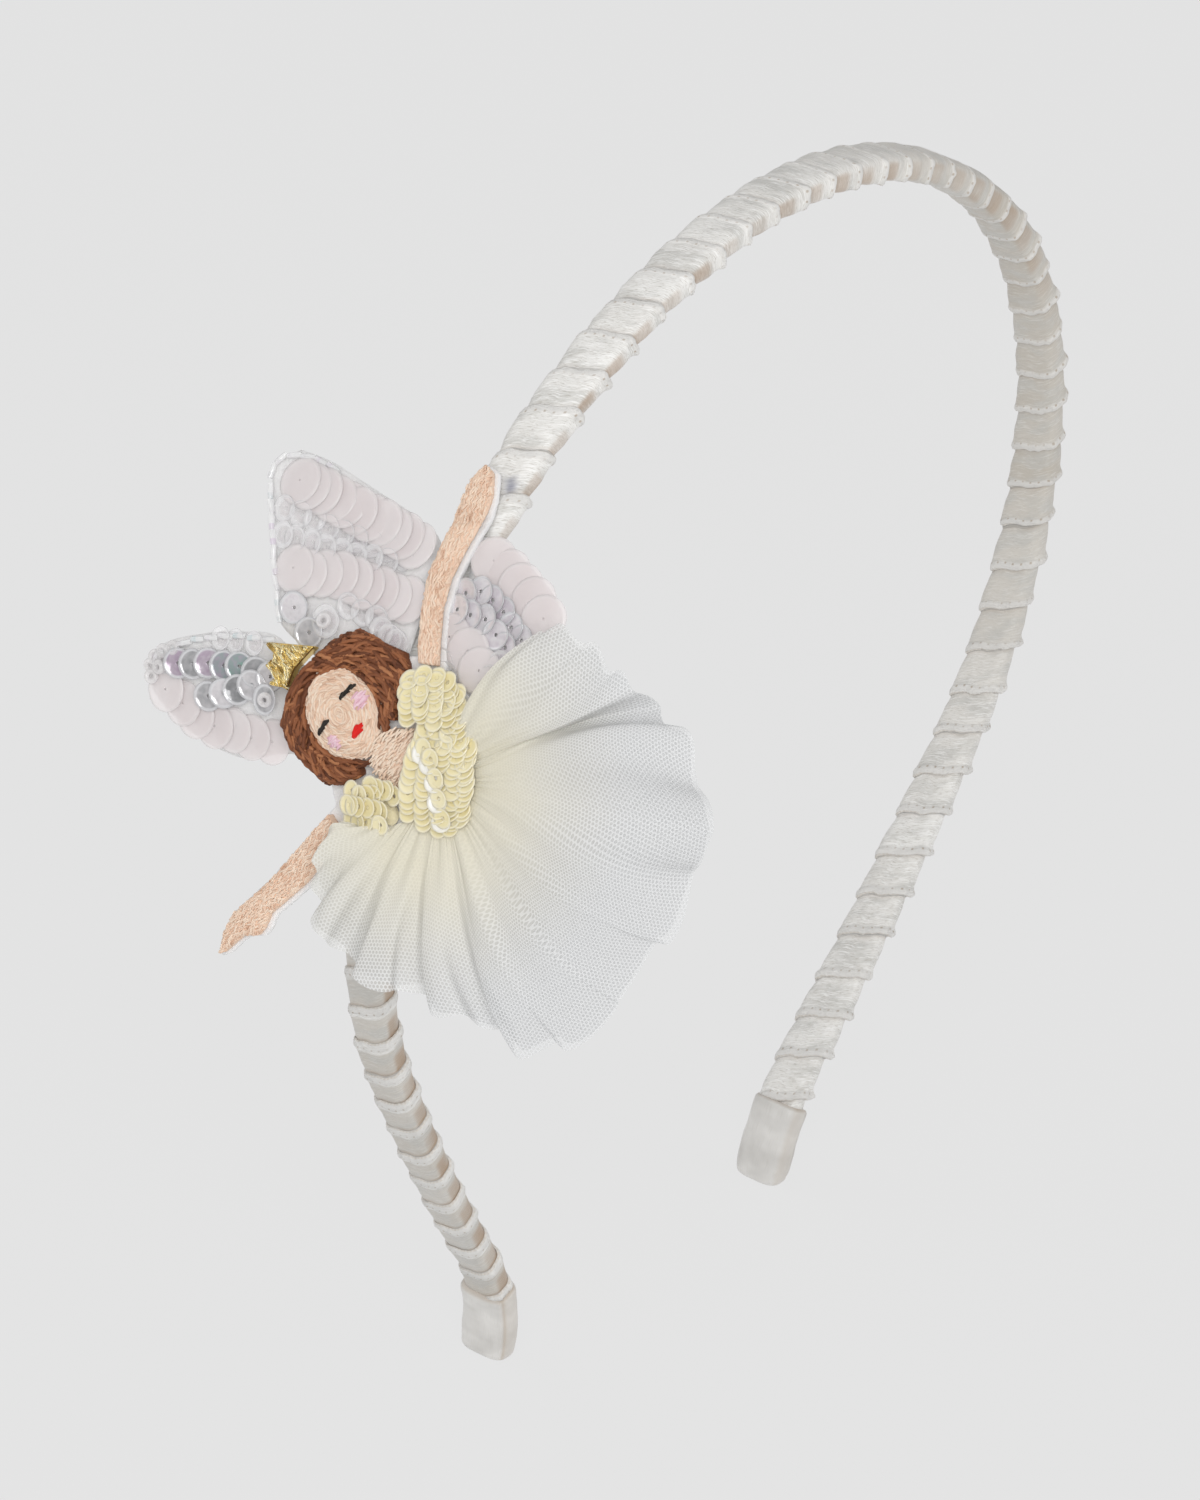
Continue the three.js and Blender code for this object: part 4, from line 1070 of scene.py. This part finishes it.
def padded_piece(node, pile, look, slot):
    """A pad with its stitches: the CAD node's own form, rounded and sewn down, under what was piled on it."""
    points, quads = soft_copy(node, 0.16, 4)
    height, out = fairy_height(points)
    sunk = (GAP + 0.05) * smooth(height, height.min() + 0.35, height.min() + 0.1)
    pile.add(points - sunk[:, None] * out, quads, 0.25, 0)
    piece = add_piece(pile.mesh(f"{node}_stitched", [look]), slot, node)
    return piece


def stitch_lines(places, angles, lengths):
    """Straight lines of points through places."""
    step = np.linspace(-0.5, 0.5, STITCH_POINTS)
    return [np.stack([u + length * step * math.cos(angle), v + length * step * math.sin(angle)], -1)
            for (u, v), angle, length in zip(places, angles, lengths)]


def in_outline(place, outline):
    """Whether a place is inside an outline."""
    inside = False
    for (x0, y0), (x1, y1) in zip(outline, outline[1:] + outline[:1]):
        if (y0 > place[1]) != (y1 > place[1]) and place[0] < x0 + (place[1] - y0) / (y1 - y0) * (x1 - x0):
            inside = not inside
    return inside


def outline_reach(outline, middle, angle):
    """Distance from a middle to an outline, at an angle."""
    steps = np.linspace(0, 8, 161)
    u, v = middle[0] + steps * math.cos(angle), middle[1] + steps * math.sin(angle)
    return steps[[in_outline(place, outline) for place in zip(u, v)]].max()


def build_arm(node, look, seed):
    """An arm in seed stitch, its stitches laid like scales along it."""
    chance = np.random.default_rng(seed)
    spine = np.array(ARM_SPINES[node], float)
    length = np.hypot(*np.diff(spine, axis=0).T).sum()
    middles, angles = path_points(spine, int(length / ARM_STITCH["row"]))
    gap, reach = ARM_STITCH["gap"], ARM_STITCH["reach"]
    places, turns = [], []
    for row, (middle, angle) in enumerate(zip(middles, angles)):
        odd = row % 2
        slant = ARM_STITCH["slant"] if odd else -ARM_STITCH["slant"]
        for offset in np.arange(-reach, reach + 0.01, gap) + odd * gap / 2:
            shake = chance.normal(0, 0.07, 2)
            places.append(middle + shake + offset * np.array([-math.sin(angle), math.cos(angle)]))
            turns.append(angle + slant + chance.normal(0, 0.2))
    lines = stitch_lines(places, turns, chance.uniform(0.75, 1.1, len(places)))
    paths = lay_all(Pad(node), lines, lift=chance.uniform(0.0, 0.1, len(lines)), dip=0.14)
    return padded_piece(node, thread_pile(paths, chance, radius=(0.11, 0.15)), look, "skin_thread")


def build_face(look, seed):
    """The face in small stitches that run round and round from its middle."""
    chance = np.random.default_rng(seed)
    tilt = math.radians(FACE["tilt"])
    axes = np.array([[math.cos(tilt), math.sin(tilt)], [-math.sin(tilt), math.cos(tilt)]])
    lines = []
    for ring in np.arange(*FACE_STITCH["rings"]):
        count = max(4, int(2 * np.pi * ring * FACE_STITCH["radius"] / FACE_STITCH["length"]))
        for start in (np.arange(count) + chance.uniform(0, 1)) * 2 * np.pi / count:
            turn = start + np.linspace(-0.6, 0.6, STITCH_POINTS) * 2 * np.pi / count
            wave = ring + 0.014 * chance.normal() + 0.03 * np.linspace(-1, 1, STITCH_POINTS) * chance.normal()
            oval = np.stack([FACE["along"] * wave * np.cos(turn), FACE["across"] * wave * np.sin(turn)], -1)
            lines.append(np.array(FACE["at"]) + oval @ axes)
    pad = Pad("face", seam=(0.9, 1.05, 2.9))
    paths = lay_all(pad, lines, lift=chance.uniform(0.0, 0.07, len(lines)), dip=0.1)
    return padded_piece("face", thread_pile(paths, chance, radius=(0.105, 0.14)), look, "skin_thread")


def build_neck(look, seed):
    """The neck and chest in slanting stitches, which run on over the felt to the dress."""
    chance = np.random.default_rng(seed)
    places = np.array([(u, v) for u in np.arange(*NECK_FIELD["u"]) for v in np.arange(*NECK_FIELD["v"])])
    places = places + chance.normal(0, 0.09, places.shape)
    places = places[[in_outline(place, NECK_OUTLINE) for place in places]]
    count = len(places)
    lines = stitch_lines(places, chance.normal(1.1, 0.2, count), chance.uniform(0.7, 1.05, count))
    away = (places - np.array(NECK_MIDDLE)) / NECK_DOME["reach"]
    dome = np.sqrt(np.maximum(0.05, 1 - (away**2).sum(axis=1)))
    lifts = NECK_DOME["stitches"] + NECK_DOME["stitch_rise"] * dome + chance.uniform(0, 0.12, count)
    sunk = 0.16 * np.abs(np.linspace(-1, 1, STITCH_POINTS)) ** 5
    paths = np.array([np.column_stack([line, lift - sunk]) for line, lift in zip(lines, lifts)])
    pile = thread_pile(paths, chance, radius=(0.11, 0.14), tones=(0.2, 1))
    turn = circle(32)
    ring = np.linspace(0.02, 1, 8)[:, None]
    reach = ring * np.array([outline_reach(NECK_OUTLINE, NECK_MIDDLE, angle) for angle in turn])
    u, v = NECK_MIDDLE[0] + reach * np.cos(turn), NECK_MIDDLE[1] + reach * np.sin(turn)
    height = NECK_DOME["pad"] + NECK_DOME["pad_rise"] * np.sqrt(np.maximum(0, 1 - ring**4))
    pile.add(fairy_point(u, v, height), grid_quads(len(ring), len(turn), True), 0.25, 0)
    return padded_piece("neck", pile, look, "skin_thread")


def build_hair(look, seed):
    """Hair in rope-like stitches that sweep round the face, in three layers."""
    chance = np.random.default_rng(seed)
    tilt = math.radians(FACE["tilt"])
    points = HAIR_STITCH["points"]
    lines, lifts = [], []
    for layer in range(HAIR_STITCH["layers"]):
        for order, ring in enumerate(np.arange(*HAIR_STITCH["rings"])):
            step = math.degrees(HAIR_STITCH["gap"] / (HAIR_STITCH["radius"] * ring))
            for angle in np.arange(*HAIR_SWEEP, step):
                at = math.radians(angle + chance.uniform(-0.45, 0.45) * step)
                lean = at - tilt
                edge = 1 / math.hypot(math.cos(lean) / FACE["along"], math.sin(lean) / FACE["across"])
                side = -1 if angle < HAIR_PARTING else 1
                slant = (0.5 if order % 2 else 0.05) * side + chance.normal(0, 0.22)
                along = np.linspace(-0.5, 0.5, points) * chance.uniform(1.7, 2.7)
                reach = edge * ring + along * math.sin(slant) + chance.normal(0, 0.1)
                sweep = at + along * math.cos(slant) / (edge * ring)
                swept = np.stack([reach * np.cos(sweep), reach * np.sin(sweep)], -1)
                lines.append(np.array(FACE["at"]) + swept)
                lifts.append(0.02 + 0.13 * layer + chance.uniform(0, 0.2))
    paths = lay_all(Pad("hair", seam=(0.94, 1.2, 2.95)), lines, lifts, dip=0.3, count=points)
    paths = paths[face_oval(paths[..., 0], paths[..., 1]).min(axis=1) > 0.95]
    return padded_piece("hair", thread_pile(paths, chance, radius=(0.16, 0.24), twist=4), look, "hair_thread")


def build_crown(look, seed):
    """The crown in crossing stitches of metallic thread."""
    chance = np.random.default_rng(seed)
    places = np.column_stack([chance.uniform(*CROWN_FIELD[axis], CROWN_STITCHES) for axis in ("u", "v")])
    places = places[~np.isnan(Pad("crown").heights(*places.T))]
    count = len(places)
    slanting = chance.random(count) < 0.8
    angles = np.where(slanting, chance.normal(2.7, 0.22, count), chance.normal(1.9, 0.3, count))
    lines = stitch_lines(places, angles, chance.uniform(1.1, 2.4, count))
    paths = lay_all(Pad("crown", "hair"), lines, lift=chance.uniform(0.02, 0.3, count), dip=0.25)
    pile = thread_pile(paths, chance, radius=(0.06, 0.11), twist=5)
    return padded_piece("crown", pile, look, "crown_thread")


def columns_of(rows):
    """The columns of a table as lists."""
    return [[row[key] for row in rows] for key in rows[0]]


def build_feature(node, feature, stitches, look, slot, seed):
    """A feature of the face in a few raised stitches over the face's pad."""
    offsets, turns, lengths = stitches
    thread = FEATURE_THREADS[slot]
    turn = math.radians(feature["tilt"])
    along = np.array([math.cos(turn), math.sin(turn)])
    across = np.array([-along[1], along[0]])
    places = [np.array(feature["at"]) + a * along + b * across for a, b in offsets]
    lines = stitch_lines(places, [turn + more for more in turns], lengths)
    paths = lay_all(Pad("face"), lines, thread["lift"], dip=0.3, count=9)
    pile = Pile()
    tones = np.random.default_rng(seed).uniform(0, 1, len(paths))
    add_threads(pile, paths, thread["radius"], tones, taper=0.45)
    return add_piece(pile.mesh(f"{node}_stitches", [look]), slot, node)


def build_features(lash, cheek, mouth):
    """Closed eyes, cheeks and a mouth."""
    for seed, (node, eye) in enumerate(EYES.items()):
        build_feature(node, eye, columns_of(EYE_STITCHES), lash, "lash_thread", 60 + seed)
    for seed, (node, spot) in enumerate(CHEEKS.items()):
        chance = np.random.default_rng(70 + seed)
        offsets = [(0.25 * chance.normal(), across) for across in np.arange(-0.72, 0.73, 0.16)]
        offsets += [(0.35 * chance.normal(), 0.35 * chance.normal()) for _ in range(14)]
        turns = chance.normal(0, 0.3, len(offsets))
        lengths = chance.uniform(0.7, 1.25, len(offsets))
        build_feature(node, spot, (offsets, turns, lengths), cheek, "cheek_thread", 80 + seed)
    build_feature("mouth", MOUTH, columns_of(MOUTH_STITCHES), mouth, "mouth_thread", 90)


def build_dress(name, looks, seed):
    """Cup sequins strung over a soft core, each leaning on the one before it."""
    chance = np.random.default_rng(seed)
    (core_u, core_v), along, across = DRESS_CORES[name].values()
    pile = Pile()
    turn = circle(40)
    ring = np.sin(np.linspace(0.02, np.pi / 2, 10))[:, None]
    height = DRESS_DOME["core"] + DRESS_DOME["core_rise"] * np.sqrt(np.maximum(0, 1 - ring**2))
    points = fairy_point(core_u + along * ring * np.cos(turn), core_v + across * ring * np.sin(turn), height)
    pile.add(points, grid_quads(len(ring), len(turn), True), 0.3, 1)
    shape, quads, grain = lathe(sequin_outline(CREAM_SIZE, **SEQUINS["cream"]), 28)

    def place_sequin(u, v, lift, rise, tilt, tone):
        away = ((u - core_u) / along) ** 2 + ((v - core_v) / across) ** 2
        dome = math.sqrt(max(0, 1 - 0.8 * min(away, 1.2)))
        h = DRESS_DOME["sequins"] + DRESS_DOME["sequin_rise"] * dome + lift
        pile.add(seat(shape, u, v, h, rise, tilt), quads, tone, 0, grain)

    for string in DRESS_STRINGS[name]:
        places, angles = path_points(string["path"], string["count"])
        for order, (place, angle) in enumerate(zip(places, angles)):
            u, v = place + chance.normal(0, 0.1, 2)
            rise = math.degrees(angle) + chance.normal(0, 12)
            lift = 0.3 - 0.02 * order + chance.uniform(0, 0.12)
            place_sequin(u, v, lift, rise, string["tilt"] + chance.normal(0, 5), chance.uniform(0, 0.75))
    # Painted highlights: a white sequin under a cream one shows as a white crescent, a glint.
    for u, v in DRESS_GLINTS[name]:
        place_sequin(u, v, 0.45, 250 + chance.normal(0, 10), 12, 1.6)
        place_sequin(u + 0.12, v + 0.5, 0.62, 70 + chance.normal(0, 10), 12, chance.uniform(0.2, 0.7))
    return add_piece(pile.mesh(f"{name}_sequin_strings", looks), "dress_sequin", name)


def fold_values(place):
    """Angle, start, reach and height of the skirt along its folds, with narrow valleys and broad ridges."""
    cell = np.minimum(place.astype(int), len(SKIRT_FOLDS) - 2)
    share = place - cell
    soft = (1 - np.cos(np.pi * share)) / 2
    found = {}
    for key in ("angle", "start", "reach", "height"):
        known = np.array([fold[key] for fold in SKIRT_FOLDS], float)
        before, after = known[cell], known[cell + 1]
        crisp = np.where(after > before, np.sin(share * np.pi / 2), 1 - np.cos(share * np.pi / 2))
        weight = {"angle": share, "height": 0.4 * soft + 0.6 * crisp}.get(key, soft)
        found[key] = before * (1 - weight) + after * weight
    return found


def skirt_points(lift, reach, seed):
    """Points of a skirt layer in rows from waist to hem, and their distances from the waist's centre."""
    last = len(SKIRT_FOLDS) - 1
    place = np.linspace(0, last, SKIRT_GRID["columns"])[None, :]
    share = np.linspace(0, 1, SKIRT_GRID["rows"])[:, None] ** 1.1
    fold = fold_values(place)
    swing = 0.17 * np.sin(2 * np.pi * place) * smooth(share, 0.25, 1) * (0.8 + 0.5 * wander(place, 1.9, seed))
    shifted = fold_values(np.clip(place + swing, 0, last))
    start = fold["start"] - 0.9
    radius = start + (fold["reach"] * reach - start) * share + 0.3 * wander(place, 0.45, seed + 1) * share**3
    bend = 6 * wander(place, 2.4, 79) * np.sin(np.pi * share) + 13 * np.exp(-place / 1.5) * (1 - share) ** 2
    angle = np.radians(shifted["angle"] + bend)
    waist = WAIST["height"] + WAIST["slope"] * (fold["start"] - WAIST["radius"])
    flute = (fold["height"] - SKIRT_RISE) * (1.05 + 0.25 * wander(place, 1.6, 78)) * smooth(share, 0.12, 1)
    height = waist + (SKIRT_RISE - waist) * np.sin(share * np.pi / 2) + flute + 0.5 + lift
    gathers = 0.08 * bell(radius, 5, 5) * wander(place + 0.3 * share, 0.14, seed + 2)
    dents = 0.4 * bell(radius, 13, 8) * wander(place + 0.5 * share, 0.55, seed + 3)
    flutter = 0.25 * share**2 * wander(place + 0.8 * share, 0.37, seed + 4)
    u, v = WAIST["at"][0] + radius * np.cos(angle), WAIST["at"][1] + radius * np.sin(angle)
    return fairy_point(u, v, height + gathers + dents + flutter), radius


def build_skirt(name, look, *nodes, lift, reach, slant, seed):
    """One layer of the skirt: a strip of tulle gathered tightly at the waist and fluted at its hem."""
    points, radius = skirt_points(lift, reach, seed)
    rows, columns = radius.shape
    inner, outer = SKIRT_CUT["inner"], SKIRT_CUT["outer"]
    runs = np.cumsum(np.linalg.norm(np.diff(points, axis=0), axis=2), axis=0)
    cut_radius = inner + np.concatenate([np.zeros((1, columns)), runs])
    steps = np.linalg.norm(np.diff(points[-1], axis=0), axis=1) / cut_radius[-1, 1:]
    cut_angle = math.radians(slant) + np.concatenate([[0], np.cumsum(steps)])
    spread = smooth(radius, 6, 27)
    net = np.stack([cut_radius * np.cos(cut_angle), cut_radius * np.sin(cut_angle), spread], -1)
    mesh = make_mesh(name, points, grid_quads(rows, columns), [look], vectors={"net": net})
    piece = add_piece(mesh, "tulle", *nodes)
    return piece


def build_backing(look):
    """White felt under the figure, showing as a rim round the arms."""
    points, quads = soft_copy("figure_backing", 0.2, 5)
    rough = 0.05 * wander(points @ np.array([1.3, 2.9, 2.1]), 0.5, 51)
    points = points + rough[:, None] * np.array([-0.9, 0, 0.4])
    mesh = make_mesh("figure_backing_felt", points, quads, [look])
    piece = add_piece(mesh, "backing_felt", "figure_backing")
    return piece


def add_to_scene(name, data):
    """A light, a camera or a floor in the scene."""
    thing = bpy.data.objects.new(name, data)
    bpy.context.scene.collection.objects.link(thing)
    return thing


def build_studio():
    """Pale floor and soft studio light."""
    look = Look("studio_floor", {"Roughness": 0.9, "Specular IOR Level": 0.0})
    glow = {"Emission Color": (1, 1, 1, 1), "Emission Strength": 0.725}
    look.fill(look.shader, {"Base Color": (0.06, 0.06, 0.06, 1), **glow})
    mesh = bpy.data.meshes.new("studio_floor")
    corners = [(x * FLOOR_HALF, y * FLOOR_HALF, 0) for x, y in ((-1, -1), (1, -1), (1, 1), (-1, 1))]
    mesh.from_pydata(corners, [], [(0, 1, 2, 3)])
    mesh.materials.append(look.material)
    add_to_scene("studio_floor", mesh)

    world = bpy.data.worlds.new("studio")
    world.use_nodes = True
    background = world.node_tree.nodes["Background"].inputs
    background["Color"].default_value = (1, 1, 1, 1)
    background["Strength"].default_value = 0.5
    bpy.context.scene.world = world

    for row in LIGHTS:
        data = bpy.data.lights.new(row["name"], "AREA")
        data.size, data.energy = row["size"], row["power"]
        light = add_to_scene(row["name"], data)
        light.location = row["place"]
        light.rotation_mode = "QUATERNION"
        light.rotation_quaternion = (Vector(LIGHT_TARGET) - light.location).to_track_quat("-Z", "Y")


def build_camera():
    """The photograph's camera."""
    azimuth, elevation, roll = (math.radians(CAMERA[key]) for key in ("azimuth", "elevation", "roll"))
    level = math.cos(elevation)
    back = Vector((math.sin(azimuth) * level, -math.cos(azimuth) * level, math.sin(elevation)))
    right = (-back).cross(Vector((0, 0, 1))).normalized()
    up = right.cross(-back)
    across = math.cos(roll) * right + math.sin(roll) * up
    upward = -math.sin(roll) * right + math.cos(roll) * up
    target = Vector(CAMERA_TARGET) + Vector(SHIFT) + Vector((0, 0, CROWN_HEIGHT))
    data = bpy.data.cameras.new("camera")
    data.sensor_fit, data.lens = "VERTICAL", CAMERA["lens"]
    data.sensor_height = data.sensor_width = CAMERA["sensor"]
    data.clip_start, data.clip_end = 0.01, 30
    camera = add_to_scene("camera", data)
    turned = Matrix((across, upward, back)).transposed().to_4x4()
    camera.matrix_world = Matrix.Translation((target + back * CAMERA["distance"]) * MM) @ turned
    bpy.context.scene.camera = camera
    bpy.context.scene.view_settings.view_transform = "Standard"
    bpy.context.scene.cycles.transparent_max_bounces = 40


build_studio()
build_camera()
build_band(satin_look("satin_ribbon"))
smooth_satin = cap_look("cap_satin")
build_cap("tip_cap_left", -1, smooth_satin)
build_cap("tip_cap_right", 1, smooth_satin)

white_felt = felt_look("white_felt")
field_looks = [frosted_look("frosted_sequin")] + [clear_look(name, **rim) for name, rim in CLEAR_RIMS.items()]
for order, (wing, rows) in enumerate(WINGS.items()):
    build_wing_felt(wing, rows, white_felt)
    build_wing_sequins(wing, field_looks, seed=100 + order)

build_backing(white_felt)
skin = thread_look("skin_thread")
face_skin = thread_look("face_thread")
build_arm("arm_raised", skin, seed=111)
build_arm("arm_lowered", skin, seed=112)
build_face(face_skin, seed=113)
build_neck(face_skin, seed=114)
build_hair(thread_look("hair_thread"), seed=115)
build_crown(thread_look("gold_thread", roughness=0.26, metallic=0.9, fibre=0.9), seed=116)
build_features(thread_look("lash_thread"), thread_look("cheek_thread"), thread_look("mouth_thread"))

dress_looks = [cream_look("cream_sequin"), felt_look("dress_core")]
for order, dress in enumerate(DRESS_STRINGS):
    build_dress(dress, dress_looks, seed=120 + order)

tulle = tulle_look("ivory_tulle")
build_skirt("skirt_under_layer", tulle, lift=-0.45, reach=0.98, slant=21, seed=200)
build_skirt("skirt_top_layer", tulle, "skirt", lift=0.35, reach=1.0, slant=0, seed=300)
